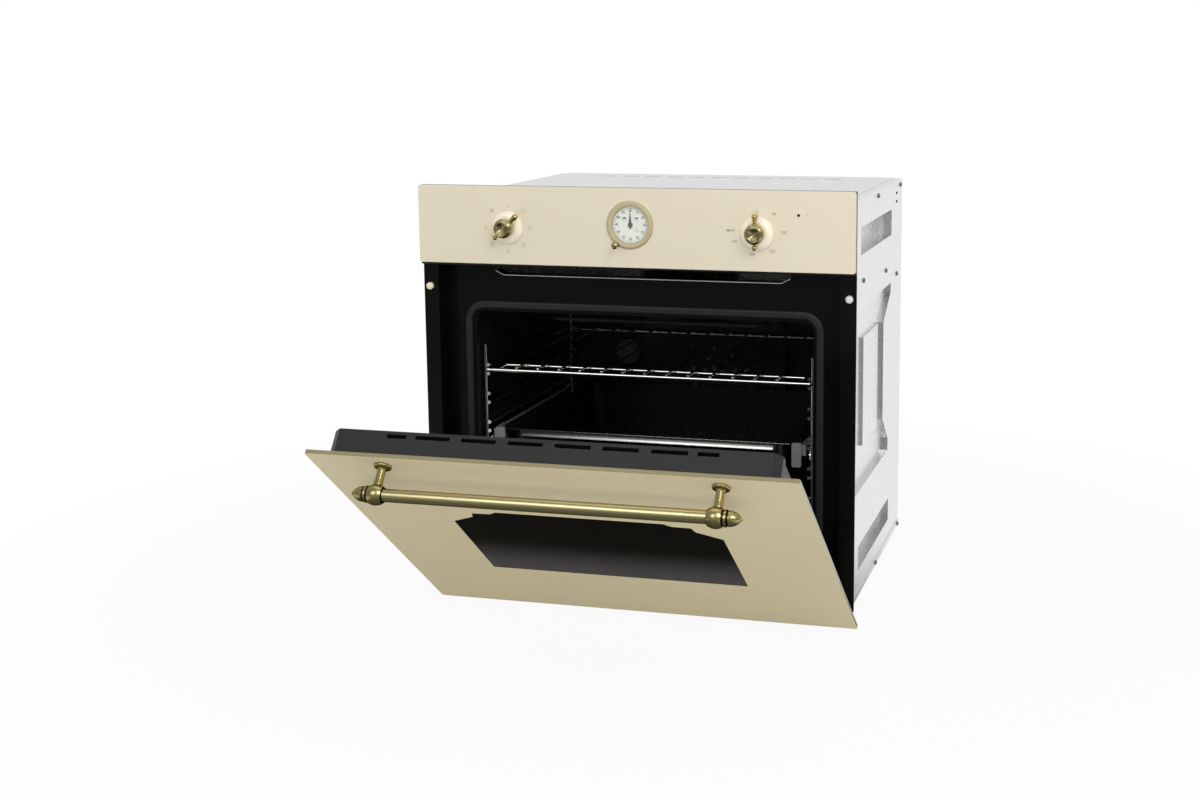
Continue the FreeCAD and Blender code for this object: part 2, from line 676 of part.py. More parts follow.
def insulation():
    """Mineral wool blanket round the cavity, cut away for the motor, the lamp and the heaters' legs."""
    gap = SHEET + FIT
    front = PLATE_REAR + SHEET + 6
    outer = block((-INS_X, INS_X), (front, INS_REAR), (INS_FLOOR - INSULATION_T, INS_TOP))
    inside = block((-CAV_X - gap, CAV_X + gap), (front - 1, CAV_REAR + gap), (INS_FLOOR, CAV_Z1 + gap))
    blanket = outer.cut(inside)
    depth = (CAV_REAR, INS_REAR + 1)
    cuts = rear_holes(depth, FIT + 2)
    for x in (-GRILL_LEGS[0], GRILL_LEGS[0]):
        cuts.append(rod((x, depth[0], BOTTOM_Z), (x, depth[1], BOTTOM_Z), ELEMENT_R + 2))
    cuts.append(rod((0, depth[0], FAN_Z), (0, depth[1], FAN_Z), FAN_HUB_R + 2))
    return blanket.cut(cuts)


def door_gasket():
    """Bulb seal round the cavity mouth."""
    inner = GASKET_OFFSET
    outer = GASKET_OFFSET + GASKET_W
    depth = (PLATE_D - GASKET_H, PLATE_D)
    ring = rounded_plate((-CAV_X - outer, CAV_X + outer), depth,
                         (CAV_Z0 - outer, CAV_Z1 + outer), CAV_R + outer)
    mouth = (depth[0] - 1, depth[1] + 1)
    ring = ring.cut(rounded_plate((-CAV_X - inner, CAV_X + inner), mouth,
                                  (CAV_Z0 - inner, CAV_Z1 + inner), CAV_R + inner))
    front_y = FRONT_Y + depth[0]
    crest = [edge for edge in ring.Edges if abs(edge.BoundBox.YMax - front_y) < 0.001]
    return ring.makeFillet(GASKET_ROUND, crest)


def rack_level_heights():
    """Heights of the support wires of the side racks."""
    return [RACK_FIRST + RACK_PITCH * level for level in range(RACK_LEVELS)]


def rack_screw_places():
    """Depth and height of the rack fixing screws on each wall."""
    z = TRAY_SUPPORT_Z - RACK_PAIR
    return [(RACK_D[0] + 11, z), (RACK_D[1] - 11, z)]


def rack_screw_holes():
    """Holes in both cavity walls for the rack fixing screws."""
    holes = []
    for depth, z in rack_screw_places():
        holes.append(rod((CAV_X - 1, depth, z), (CAV_X + SHEET + 1, depth, z), WIRE_R + FIT))
        holes.append(rod((-CAV_X + 1, depth, z), (-CAV_X - SHEET - 1, depth, z), WIRE_R + FIT))
    return holes


def side_rack():
    """Right-hand chrome wire rack: two uprights and pairs of shelf wires."""
    low = RACK_FIRST - RACK_FOOT
    wires = []
    for depth in RACK_D:
        wires.append(rod((RACK_X, depth, low), (RACK_X, depth, RACK_TOP), WIRE_R))
    ends = (RACK_D[0] - WIRE_R, RACK_D[1] + WIRE_R)
    for z in rack_level_heights():
        for height in (z, z + RACK_PAIR):
            wires.append(rod((RAIL_X, ends[0], height), (RAIL_X, ends[1], height), WIRE_R))
    for depth, z in rack_screw_places():
        upright = RACK_D[0] if depth < sum(RACK_D) / 2 else RACK_D[1]
        wires.append(rod((RACK_X, upright, z), (RACK_X, depth, z), WIRE_R - 0.6))
    passes = [rod((RAIL_X - WIRE_R, d, z), (CAV_X, d, z), WIRE_R + FIT) for d, z in rack_screw_places()]
    return fused(wires).cut(passes)


def rack_screws():
    """Knurled screws that hold the racks to the cavity walls."""
    screws = []
    for depth, z in rack_screw_places():
        reach = CAV_X + SHEET - RACK_X + WIRE_R
        profile = [(0, 0), (WIRE_R, 0), (WIRE_R, reach), (6.0, reach), (6.0, reach + 3), (4.2, reach + 4.5),
                   (0, reach + 4.5)]
        screw = turned(profile, at(CAV_X + SHEET, depth, z), V(-1, 0, 0))
        screws.append(screw)
        screws.append(mirrored(screw))
    return Part.Compound(screws)


def wire_shelf():
    """Chrome grid shelf with a second cross rail a little behind the front one."""
    front, rear = SHELF_D
    bars = []
    for depth in SHELF_D:
        bars.append(rod((-SHELF_HALF, depth, SHELF_Z), (SHELF_HALF, depth, SHELF_Z), SHELF_RAIL_R))
    second = front + SHELF_SECOND_RAIL
    second_z = SHELF_Z + SHELF_RAIL_R - SHELF_SECOND_R
    bars.append(rod((-SHELF_SIDE, second, second_z), (SHELF_SIDE, second, second_z), SHELF_SECOND_R))
    for x in (-SHELF_SIDE, SHELF_SIDE):
        bars.append(rod((x, front, SHELF_Z), (x, rear, SHELF_Z), SHELF_RAIL_R))
    top = SHELF_Z + SHELF_RAIL_R + SHELF_WIRE_R - 0.6
    first = -SHELF_WIRE_PITCH * (SHELF_WIRES - 1) / 2
    for step in range(SHELF_WIRES):
        x = first + step * SHELF_WIRE_PITCH
        bars.append(rod((x, front - SHELF_RAIL_R, top), (x, rear + SHELF_RAIL_R, top), SHELF_WIRE_R))
    return fused(bars)


def baking_tray():
    """Enamelled deep tray with a flat rim that lies on the runner slides."""
    front, rear = TRAY_D
    floor = TRAY_Z1 - TRAY_DEPTH
    rim_z = (TRAY_Z1, TRAY_Z1 + SHEET)
    x = (-TRAY_HALF, TRAY_HALF)
    pan = upright_box(x, TRAY_D, (floor, rim_z[1]), TRAY_R)
    rim_half = TRAY_HALF + TRAY_RIM
    rim = upright_box((-rim_half, rim_half), (front - 4, rear + 4), rim_z, TRAY_R / 2)
    inner_x = (SHEET - TRAY_HALF, TRAY_HALF - SHEET)
    inner_d = (front + SHEET, rear - SHEET)
    inside = upright_box(inner_x, inner_d, (floor + SHEET, rim_z[1] + 1), TRAY_R - SHEET)
    lip_half = TRAY_HALF - TRAY_RIM
    edge = front - 4
    lip = side_prism([(edge, rim_z[1]), (edge - TRAY_LIP * 0.6, rim_z[1] - TRAY_LIP),
                      (edge - TRAY_LIP * 0.6 + SHEET, rim_z[1] - TRAY_LIP), (edge + SHEET, rim_z[0])],
                     (-lip_half, lip_half))
    return fused([pan.fuse(rim).cut(inside), lip])


def upright_box(x, depth, z, radius):
    """Box with rounded upright edges."""
    solid = block(x, depth, z)
    return solid.makeFillet(radius, edges_along(solid, V(0, 0, 1)))


def runner_rail():
    """Right-hand fixed rail of the telescopic runner, with two clips beside the rack wire."""
    bar = block((RUNNER_X0, RUNNER_X1), RUNNER_D, (RUNNER_Z0, RUNNER_Z1))
    clips = []
    for depth in (RUNNER_D[0] + CLIP_INSET, RUNNER_D[1] - CLIP_INSET - CLIP_LONG):
        clip_x = (RUNNER_X1 - CLIP_SEAT, RAIL_X - WIRE_R - FIT)
        clips.append(block(clip_x, (depth, depth + CLIP_LONG), (RUNNER_Z1 - CLIP_HIGH, RUNNER_Z1)))
    return fused([bar] + clips)


def runner_slide():
    """Right-hand sliding member of the runner, with the stop tab at its front end."""
    bar = block((SLIDE_X0, SLIDE_X1), RUNNER_D, (RUNNER_Z0, RUNNER_Z1))
    tab_x = (SLIDE_X1 - TAB_W, SLIDE_X1)
    tab_z = (RUNNER_Z1 + 4 - TAB_H, RUNNER_Z1 + 4)
    front = TRAY_D[0] - 4 - FIT
    tab = rounded_plate(tab_x, (front - TAB_T, front), tab_z, 2.5)
    neck = block((SLIDE_X0, SLIDE_X1), (front - 1, RUNNER_D[0] + 1), (RUNNER_Z0, RUNNER_Z1 - FIT))
    return fused([bar, tab, neck])


def heater(z, leg_end):
    """Round-tube heating element with two return bends on each side."""
    near, mid, far = GRILL_RUN
    inner, middle, outer = GRILL_LEGS
    plan = [(outer, near), (outer, far), (middle, far), (middle, mid), (inner, mid), (inner, leg_end)]
    half = [(x, depth, z) for x, depth in plan]
    route = [(-x, depth, height) for x, depth, height in reversed(half)] + half
    return bent_rod(route, ELEMENT_R, ELEMENT_BEND)


def ring_element():
    """Round element behind the baffle, with two legs through the rear wall."""
    centre = at(0, RING_D, FAN_Z)
    ring = Part.makeTorus(RING_R, ELEMENT_R, centre, V(0, 1, 0))
    leg_z = FAN_Z + RING_R
    x = GRILL_LEGS[0]
    legs = []
    for side in (-x, x):
        legs.append(rod((side, RING_D, leg_z), (side, TERMINAL_END, leg_z), ELEMENT_R))
        legs.append(rod((0, RING_D, leg_z), (side, RING_D, leg_z), ELEMENT_R))
    return fused([ring] + legs)


def fan_baffle():
    """Perforated cover in front of the fan."""
    half = BAFFLE_HALF
    outer = rounded_plate((-half, half), (BAFFLE_D, CAV_REAR), (FAN_Z - half, FAN_Z + half), BAFFLE_R)
    inner_half = half - SHEET
    inside = rounded_plate((-inner_half, inner_half), (BAFFLE_D + SHEET, CAV_REAR + 1),
                           (FAN_Z - inner_half, FAN_Z + inner_half), BAFFLE_R - SHEET)
    holes = []
    for radius, count in BAFFLE_RINGS:
        for step in range(count):
            angle = 2 * math.pi * step / count
            x = radius * math.cos(angle)
            z = FAN_Z + radius * math.sin(angle)
            holes.append(rod((x, BAFFLE_D - 1, z), (x, BAFFLE_D + SHEET + 1, z), BAFFLE_HOLE_R))
    gill_d = (BAFFLE_D + BAFFLE_GILL_INSET[0], CAV_REAR - BAFFLE_GILL_INSET[1])
    for side in (-1, 1):
        for step in range(BAFFLE_GILLS):
            z = FAN_Z + (step - (BAFFLE_GILLS - 1) / 2) * BAFFLE_GILL_PITCH
            edge_x = sorted((side * (half - 3 * SHEET), side * (half + SHEET)))
            holes.append(block(edge_x, gill_d, (z - BAFFLE_GILL_H / 2, z + BAFFLE_GILL_H / 2)))
    return outer.cut(inside).cut(holes)


def convection_fan():
    """Bladed wheel behind the baffle."""
    depth = (FAN_D, FAN_D + FAN_DEPTH)
    hub = rod((0, depth[0], FAN_Z), (0, depth[1], FAN_Z), FAN_HUB_R)
    disc = rod((0, depth[1] - SHEET, FAN_Z), (0, depth[1], FAN_Z), FAN_R)
    parts = [hub, disc]
    for step in range(FAN_BLADES):
        blade = block((FAN_HUB_R + 18, FAN_R), (depth[0], depth[1]), (FAN_Z - SHEET / 2, FAN_Z + SHEET / 2))
        blade.rotate(at(0, 0, FAN_Z), V(0, 1, 0), 360.0 * step / FAN_BLADES)
        parts.append(blade)
    bore = rod((0, depth[0] + 3, FAN_Z), (0, depth[1] + 1, FAN_Z), FAN_SHAFT_R + RUN_FIT)
    return fused(parts).cut(bore)


def fan_shaft():
    """Shaft from the motor to the fan wheel."""
    return rod((0, FAN_D + 3 + RUN_FIT, FAN_Z), (0, MOTOR_D + FAN_MOTOR_D - 8, FAN_Z), FAN_SHAFT_R)


def fan_motor():
    """Fan motor behind the insulation, with a bearing nose against the cavity's rear wall."""
    start = CAV_REAR + SHEET + FIT
    nose = rod((0, start, FAN_Z), (0, MOTOR_D + 1, FAN_Z), FAN_HUB_R)
    body = rod((0, MOTOR_D, FAN_Z), (0, MOTOR_D + FAN_MOTOR_D, FAN_Z), FAN_MOTOR_R)
    bore = rod((0, start - 1, FAN_Z), (0, MOTOR_D + FAN_MOTOR_D - 7, FAN_Z), FAN_SHAFT_R + RUN_FIT)
    return fused([nose, body]).cut(bore)


def lamp_lens():
    """Domed glass cover of the oven lamp."""
    wall = 2.0
    radius = OVEN_LAMP_R
    height = OVEN_LAMP_H
    profile = [(radius - wall, 0), (radius, 0), (radius, height * 0.55),
               ("arc", (radius * 0.72, height * 0.9), (TIP_FLAT, height)), (0, height), (0, height - wall),
               (TIP_FLAT, height - wall),
               ("arc", (radius * 0.66, height * 0.82), (radius - wall, height * 0.5))]
    return turned(profile, at(OVEN_LAMP_X, CAV_REAR - FIT, OVEN_LAMP_Z), V(0, -1, 0))


def lamp_holder():
    """Ceramic lamp holder through the rear wall, with its bulb."""
    rear = CAV_REAR + LAMP_HOLDER_D
    holder = rod((OVEN_LAMP_X, CAV_REAR, OVEN_LAMP_Z), (OVEN_LAMP_X, rear, OVEN_LAMP_Z), LAMP_HOLDER_R)
    profile = [(0, 0), (6.0, 0), (6.0, 4.0), (8.5, 7.0), ("arc", (6.5, 12.6), (TIP_FLAT, 14.5)), (0, 14.5)]
    bulb = turned(profile, at(OVEN_LAMP_X, CAV_REAR, OVEN_LAMP_Z), V(0, -1, 0))
    return fused([holder, bulb])


def thermostat_sensor():
    """Thermostat bulb clipped to the right wall of the cavity."""
    x = CAV_X - SENSOR_R - 4
    z = CAV_Z1 - CAV_R - 6
    start = SENSOR_D
    bulb = rod((x, start, z), (x, start + SENSOR_LENGTH, z), SENSOR_R)
    clips = []
    for depth in (start + 15, start + SENSOR_LENGTH - 15):
        clips.append(block((x, CAV_X), (depth - 3, depth + 3), (z - 1.5, z + 1.5)))
    return fused([bulb] + clips)


def panel_bores(depth):
    """Holes in the panel for the spindles, the clock, the setting shaft and the indicator."""
    bores = []
    for x, z, radius in ((-KNOB_X, KNOB_Z, SPINDLE_HOLE_R), (KNOB_X, KNOB_Z, SPINDLE_HOLE_R),
                         (0, CLOCK_Z, DIAL_R + BEZEL_WALL + FIT), (SET_KNOB_X, SET_KNOB_Z, SET_SHAFT_R + 1),
                         (LAMP_X, PANEL_Z1 - LAMP_BELOW, LAMP_R + RUN_FIT)):
        bores.append(rod((x, depth[0], z), (x, depth[1], z), radius))
    return bores


def control_panel():
    """Back-painted glass panel."""
    half = FRONT_W / 2
    plate = rounded_plate((-half, half), (0, GLASS_T), (PANEL_Z0, PANEL_Z1), GLASS_R)
    return plate.cut(panel_bores((-1, GLASS_T + 1)))


def panel_bracket():
    """Steel carrier behind the panel, with edges folded back to the casing sides."""
    half = CASE_X - SHEET - FIT
    z = (PANEL_Z0 + BRACKET_EDGE, PANEL_Z1 - BRACKET_EDGE)
    parts = [block((-half, half), (GLASS_T, BRACKET_REAR), z),
             block((-half, half), (GLASS_T, FLANGE_D), (z[1] - BRACKET_T, z[1])),
             block((-half, half), (GLASS_T, PLATE_D - 4), (z[0], z[0] + BRACKET_T))]
    for x in ((half - BRACKET_T, half), (-half, BRACKET_T - half)):
        parts.append(block(x, (GLASS_T, PLATE_D + 16), (z[0], CASE_H - 3 * SHEET)))
    return fused(parts).cut(panel_bores((GLASS_T - 1, BRACKET_REAR + 1)))


def rotary_switch(x):
    """Switch or thermostat body behind the bracket, with a bore for its spindle."""
    half = SWITCH_W / 2
    start = BRACKET_REAR + RUN_FIT
    body = upright_box((x - half, x + half), (start, start + SWITCH_D), (KNOB_Z - half, KNOB_Z + half), 4.0)
    return body.cut(rod((x, start - 1, KNOB_Z), (x, start + SPINDLE_GRIP + 1, KNOB_Z), SPINDLE_R + RUN_FIT))


def knob_spindle(x):
    """Spindle from the switch body into the knob."""
    inner = BRACKET_REAR + SPINDLE_GRIP
    outer = -(SKIRT_H + FIT + SPINDLE_GRIP - RUN_FIT)
    return rod((x, outer, KNOB_Z), (x, inner, KNOB_Z), SPINDLE_R)


def knob_skirt(x):
    """Domed collar on the panel round a knob."""
    inner = SPINDLE_R + 1.5
    profile = [(inner, 0), (SKIRT_R, 0), (SKIRT_R, SKIRT_H * 0.35),
               ("arc", (SKIRT_R * 0.86, SKIRT_H * 0.8), (SKIRT_R * 0.62, SKIRT_H)), (inner, SKIRT_H)]
    return turned(profile, at(x, 0, KNOB_Z), V(0, -1, 0))


def lever_knob(x, turn):
    """Brass knob with a short lever, turned clockwise from upright."""
    base = SKIRT_H + FIT
    bore = SPINDLE_R + RUN_FIT
    grip = base + SPINDLE_GRIP
    profile = [(bore, base), (KNOB_R * 0.7, base), ("arc", (KNOB_R * 0.9, base + 3), (KNOB_R, base + 8)),
               (KNOB_R, KNOB_H - 6), ("arc", (KNOB_R * 0.92, KNOB_H - 2), (KNOB_R * 0.72, KNOB_H)),
               (KNOB_R * 0.62, KNOB_H), ("arc", (KNOB_R * 0.34, KNOB_H - 2.3), (TIP_FLAT, KNOB_H - 3)),
               (0, KNOB_H - 3), (0, grip), (bore, grip)]
    hub = turned(profile, at(x, 0, KNOB_Z), V(0, -1, 0))
    swing = math.radians(turn)
    along = V(math.sin(swing), 0, math.cos(swing))
    middle = at(x, -(base + 9), KNOB_Z)
    root = KNOB_R * 0.75
    tip = LEVER_REACH
    lever = turned([(0, root), (3.1, root), (2.7, tip - 11), (4.1, tip - 3),
                    ("arc", (3.0, tip - 0.8), (TIP_FLAT, tip)), (0, tip)], middle, along)
    ball_end = KNOB_R + BALL_REACH
    ball = turned([(0, root), (2.2, root), (2.2, ball_end - 6.0),
                   ("arc", (3.4, ball_end - 3.2), (TIP_FLAT, ball_end)), (0, ball_end)], middle, along * -1)
    return fused([hub, lever, ball])


def clock_body():
    """Clock movement behind the panel, with a boss that carries the dial and one for the setting shaft."""
    start = BRACKET_REAR + RUN_FIT
    end = start + CLOCK_BODY_D
    parts = [rod((0, start, CLOCK_Z), (0, end, CLOCK_Z), CLOCK_BODY_R),
             rod((0, DIAL_REAR + RUN_FIT, CLOCK_Z), (0, start + 1, CLOCK_Z), DIAL_R - 4),
             rod((SET_KNOB_X, start, SET_KNOB_Z), (SET_KNOB_X, end, SET_KNOB_Z), SET_SHAFT_R + 6)]
    bottom = start + 8
    bores = [rod((0, DIAL_REAR - 1, CLOCK_Z), (0, bottom, CLOCK_Z), ARBOR_R + 1 + RUN_FIT),
             rod((SET_KNOB_X, start - 1, SET_KNOB_Z), (SET_KNOB_X, bottom, SET_KNOB_Z),
                 SET_SHAFT_R + RUN_FIT)]
    return fused(parts).cut(bores)


def clock_bezel():
    """Raised ring round the clock, with a sleeve through the panel."""
    sleeve = DIAL_R + BEZEL_WALL
    end = -(GLASS_T + 1)
    profile = [(DIAL_R + 0.5, end), (sleeve, end), (sleeve, 0), (BEZEL_R, 0), (BEZEL_R, BEZEL_H * 0.4),
               ("arc", (BEZEL_R - 1.6, BEZEL_H * 0.85), (BEZEL_R - 3.2, BEZEL_H)),
               (DIAL_R + 1.5, BEZEL_H * 0.8), (DIAL_R + 0.5, BEZEL_H * 0.5)]
    ring = turned(profile, at(0, 0, CLOCK_Z), V(0, -1, 0))
    front = -BEZEL_H - 1
    shaft_ends = [(SET_KNOB_X, depth, SET_KNOB_Z) for depth in (front, GLASS_T)]
    return ring.cut(rod(*shaft_ends, SET_SHAFT_R + 2 * FIT))


def clock_dial():
    """Dial plate with a hole for the hand arbors."""
    disc = rod((0, DIAL_DEPTH, CLOCK_Z), (0, DIAL_REAR, CLOCK_Z), DIAL_R + 0.2)
    return disc.cut(rod((0, DIAL_DEPTH - 1, CLOCK_Z), (0, DIAL_REAR + 1, CLOCK_Z), ARBOR_R + 1 + RUN_FIT))


def clock_lens():
    """Clear cover over the hands, held in the bezel."""
    return rod((0, -BEZEL_H * 0.5, CLOCK_Z), (0, -BEZEL_H * 0.5 + LENS_T, CLOCK_Z), DIAL_R + 0.3)


def clock_hand(reach, width, depth, tube, bore):
    """Pointer with a tail on a tube that runs back through the dial."""
    front = depth - HAND_T
    tail = CLOCK_Z - HAND_TAIL
    tip = CLOCK_Z + reach
    blade = front_prism([(-width, CLOCK_Z), (-width / 2, tail), (width / 2, tail), (width, CLOCK_Z),
                         (HAND_TIP, tip), (-HAND_TIP, tip)], (front, depth))
    boss = rod((0, front, CLOCK_Z), (0, depth, CLOCK_Z), ARBOR_R + 1.6)
    shank = rod((0, front, CLOCK_Z), (0, BRACKET_REAR + 6, CLOCK_Z), tube)
    hand = fused([blade, boss, shank])
    if bore > 0:
        hand = hand.cut(rod((0, front - 1, CLOCK_Z), (0, BRACKET_REAR + 7, CLOCK_Z), bore))
    return hand


def hour_hand():
    """Short hand on the outer tube."""
    return clock_hand(HOUR_HAND, 1.9, DIAL_DEPTH - 0.5, ARBOR_R + 1, ARBOR_R + RUN_FIT)


def minute_hand():
    """Long hand on the inner arbor."""
    return clock_hand(MINUTE_HAND, 1.7, DIAL_DEPTH - 0.5 - HAND_T - 0.4, ARBOR_R, 0)


def clock_set_knob():
    """Small brass button and its shaft below the clock."""
    inner = BRACKET_REAR + 7
    profile = [(0, -inner), (SET_SHAFT_R, -inner), (SET_SHAFT_R, SET_KNOB_H - 6),
               ("arc", (SET_KNOB_R * 0.8, SET_KNOB_H - 5.4), (SET_KNOB_R, SET_KNOB_H - 4)),
               (SET_KNOB_R, SET_KNOB_H - 1.6),
               ("arc", (SET_KNOB_R * 0.7, SET_KNOB_H - 0.4), (TIP_FLAT, SET_KNOB_H)), (0, SET_KNOB_H)]
    return turned(profile, at(SET_KNOB_X, 0, SET_KNOB_Z), V(0, -1, 0))


def indicator_lens():
    """Pilot light behind the panel with its small lens in the glass."""
    z = PANEL_Z1 - LAMP_BELOW
    stem = rod((LAMP_X, -0.6, z), (LAMP_X, BRACKET_REAR + 1, z), LAMP_R)
    return fused([stem, rod((LAMP_X, BRACKET_REAR, z), (LAMP_X, BRACKET_REAR + 8, z), LAMP_R + 2)])


def blower_housing():
    """Cooling-air duct and scroll box between the cavity and the top cover."""
    duct_x = AIR_SLOT_HALF + AIR_SLOT_SPLAY + SHEET
    duct_z = (DUCT_Z0, DUCT_Z0 + DUCT_H)
    duct = block((-duct_x, duct_x), (DUCT_FRONT, DUCT_REAR), duct_z)
    chamber_z = (BLOWER_Z0, BLOWER_Z1)
    chamber = block((-BLOWER_HALF, BLOWER_HALF), BLOWER_D, chamber_z)
    duct_in = block((SHEET - duct_x, duct_x - SHEET), (DUCT_FRONT - 1, DUCT_REAR - SHEET),
                    (duct_z[0] + SHEET, duct_z[1] - SHEET))
    inner = BLOWER_HALF - SHEET
    chamber_in = block((-inner, inner), (BLOWER_D[0] + SHEET, BLOWER_D[1] - SHEET),
                       (chamber_z[0] + SHEET, chamber_z[1] - SHEET))
    throat = block((-inner, inner), (BLOWER_D[0] - 1, DUCT_REAR + 1), (duct_z[0] + SHEET, duct_z[1] - SHEET))
    cuts = [duct_in, chamber_in, throat]
    top = (BLOWER_Z1 - 2, BLOWER_Z1 + 1)
    cuts.append(rod((0, BLOWER_MID_D, top[0]), (0, BLOWER_MID_D, top[1]), ROTOR_SHAFT_R + 2))
    corner = INLET_R + INLET_CORNER + SHEET
    for x in (corner - BLOWER_HALF, BLOWER_HALF - corner):
        for depth in (BLOWER_D[0] + corner, BLOWER_D[1] - corner):
            cuts.append(rod((x, depth, top[0]), (x, depth, top[1]), INLET_R))
    return duct.fuse(chamber).cut(cuts)


def blower_rotor():
    """Centrifugal wheel with its shaft."""
    mid = BLOWER_MID_D
    low = BLOWER_Z0 + 18
    high = low + ROTOR_H
    eye = rod((0, mid, low - 1), (0, mid, low + 3), ROTOR_R - 12)
    ring = rod((0, mid, low), (0, mid, low + 2), ROTOR_R).cut(eye)
    parts = [rod((0, mid, high - 2), (0, mid, high), ROTOR_R), ring,
             rod((0, mid, high - 14), (0, mid, BLOWER_Z1 + 14), ROTOR_SHAFT_R)]
    for step in range(ROTOR_BLADES):
        blade = block((ROTOR_R - 10, ROTOR_R - 3), (mid - 0.6, mid + 0.6), (low + 1, high - 1))
        blade.rotate(at(0, mid, 0), V(0, 0, 1), 360.0 * step / ROTOR_BLADES)
        parts.append(blade)
    return fused(parts)


def blower_motor():
    """Blower motor standing on the scroll box."""
    mid = BLOWER_MID_D
    body = rod((0, mid, BLOWER_Z1), (0, mid, BLOWER_Z1 + BLOWER_MOTOR_H), BLOWER_MOTOR_R)
    return body.cut(rod((0, mid, BLOWER_Z1 - 1), (0, mid, BLOWER_Z1 + 15), ROTOR_SHAFT_R + RUN_FIT))


def terminal_box():
    """Mains terminal box on the rear sheet, with a cable gland at its lower edge."""
    depth = (CASE_REAR, CASE_REAR + TERMINAL_DEPTH)
    box = block(TERMINAL_X, depth, TERMINAL_Z)
    wall = TERMINAL_WALL
    inside = block((TERMINAL_X[0] + wall, TERMINAL_X[1] - wall), (depth[0] - 1, depth[1] - wall),
                   (TERMINAL_Z[0] + wall, TERMINAL_Z[1] - wall))
    x = (TERMINAL_X[0] + TERMINAL_X[1]) / 2
    mid = (depth[0] + depth[1]) / 2
    low = TERMINAL_Z[0] + wall - GLAND_H
    gland = rod((x, mid, low), (x, mid, TERMINAL_Z[0] + wall), GLAND_R)
    box = fused([box.cut(inside), gland])
    return box.cut(rod((x, mid, low - 1), (x, mid, TERMINAL_Z[0] + wall + 1), CABLE_R))


def hinge_arm():
    """Right-hand hinge arm: two cheeks round the door's tongue, on a foot behind the frame plate."""
    half = HINGE_TONGUE_T / 2 + FIT
    outer = half + HINGE_CHEEK_T
    bar_z = (HINGE_Z, HINGE_Z + HINGE_BAR_H)
    parts = [block((HINGE_X - outer, HINGE_X + outer), (PLATE_REAR, PLATE_REAR + HINGE_FOOT_T),
                   (HINGE_Z, HINGE_Z + HINGE_FOOT_H))]
    for x in ((HINGE_X - outer, HINGE_X - half), (HINGE_X + half, HINGE_X + outer)):
        parts.append(rod((x[0], HINGE_D, HINGE_Z), (x[1], HINGE_D, HINGE_Z), HINGE_LUG_R))
        parts.append(block(x, (HINGE_D, PLATE_REAR + HINGE_FOOT_T), bar_z))
    ends = (HINGE_X - outer - 1, HINGE_X + outer + 1)
    bore = rod((ends[0], HINGE_D, HINGE_Z), (ends[1], HINGE_D, HINGE_Z), HINGE_PIN_R + RUN_FIT)
    return fused(parts).cut(bore)


def hinge_pin():
    """Right-hand hinge pin."""
    outer = HINGE_TONGUE_T / 2 + FIT + HINGE_CHEEK_T
    return rod((HINGE_X - outer, HINGE_D, HINGE_Z), (HINGE_X + outer, HINGE_D, HINGE_Z), HINGE_PIN_R)


def hinge_tongue():
    """Right-hand tongue of the door hinge, standing in the door column."""
    x = (HINGE_X - HINGE_TONGUE_T / 2, HINGE_X + HINGE_TONGUE_T / 2)
    front = GLASS_T + COLUMN_WALL + FIT
    rear = COLUMN_REAR - COLUMN_WALL - FIT
    low = DOOR_BODY_Z0 + 3
    blade = side_prism([(HINGE_D - HINGE_LUG_R + 1, HINGE_Z), (HINGE_D + HINGE_LUG_R - 1, HINGE_Z),
                        (rear - 6, low), (rear, low + 14), (rear, HINGE_Z + HINGE_TONGUE_H),
                        (front, HINGE_Z + HINGE_TONGUE_H), (front, low)], x)
    lug = rod((x[0], HINGE_D, HINGE_Z), (x[1], HINGE_D, HINGE_Z), HINGE_LUG_R)
    bore = rod((x[0] - 1, HINGE_D, HINGE_Z), (x[1] + 1, HINGE_D, HINGE_Z), HINGE_PIN_R + RUN_FIT)
    return fused([blade, lug]).cut(bore)


def window_outline(inset):
    """Door window: straight sides and foot, and a stepped crest."""
    half = WINDOW_HALF - inset
    low = DOOR_Z0 + WINDOW_Z[0] + inset
    shoulder = DOOR_Z0 + WINDOW_Z[1] - inset
    crest = [(x - inset, shoulder + rise) for x, rise in WINDOW_CREST]
    right = [(half, low), (half, shoulder)] + crest
    return right + [(-x, z) for x, z in reversed(right)]


def door_glass():
    """Outer door pane, back-painted, with the clear window left out."""
    half = FRONT_W / 2
    plate = rounded_plate((-half, half), (0, GLASS_T), (DOOR_Z0, DOOR_Z1), GLASS_R)
    return plate.cut(front_prism(window_outline(0), (-1, GLASS_T + 1)))


def door_window():
    """Clear dark window in the outer pane, flush with its front."""
    return front_prism(window_outline(WINDOW_FIT), (0, GLASS_T))


def door_inner_glass():
    """Inner pane, lying on the door columns."""
    half = INNER_X - INNER_GLASS_INSET
    return block((-half, half), (COLUMN_REAR, DOOR_REAR), (DOOR_BODY_Z0 + INNER_GLASS_INSET, TRIM_Z0))


def door_column():
    """Right-hand hollow column between the panes, open at its foot for the hinge."""
    depth = (GLASS_T, COLUMN_REAR)
    z = (DOOR_BODY_Z0, TRIM_Z0)
    column = block((COLUMN_X, INNER_X), depth, z)
    wall = COLUMN_WALL
    hollow_x = (COLUMN_X + wall, INNER_X - wall)
    inside = block(hollow_x, (depth[0] + wall, depth[1] - wall), (z[0] - 1, z[1] - wall))
    return column.cut(inside)


def trim_outline(inset, low):
    """Front outline of the trim with its upper corners cut off, drawn in by inset."""
    half = INNER_X - inset
    top = TRIM_Z1 - inset
    cut = TRIM_CORNER - 0.6 * inset
    return [(-half, low), (half, low), (half, top - cut), (half - cut, top), (cut - half, top), (-half, top - cut)]


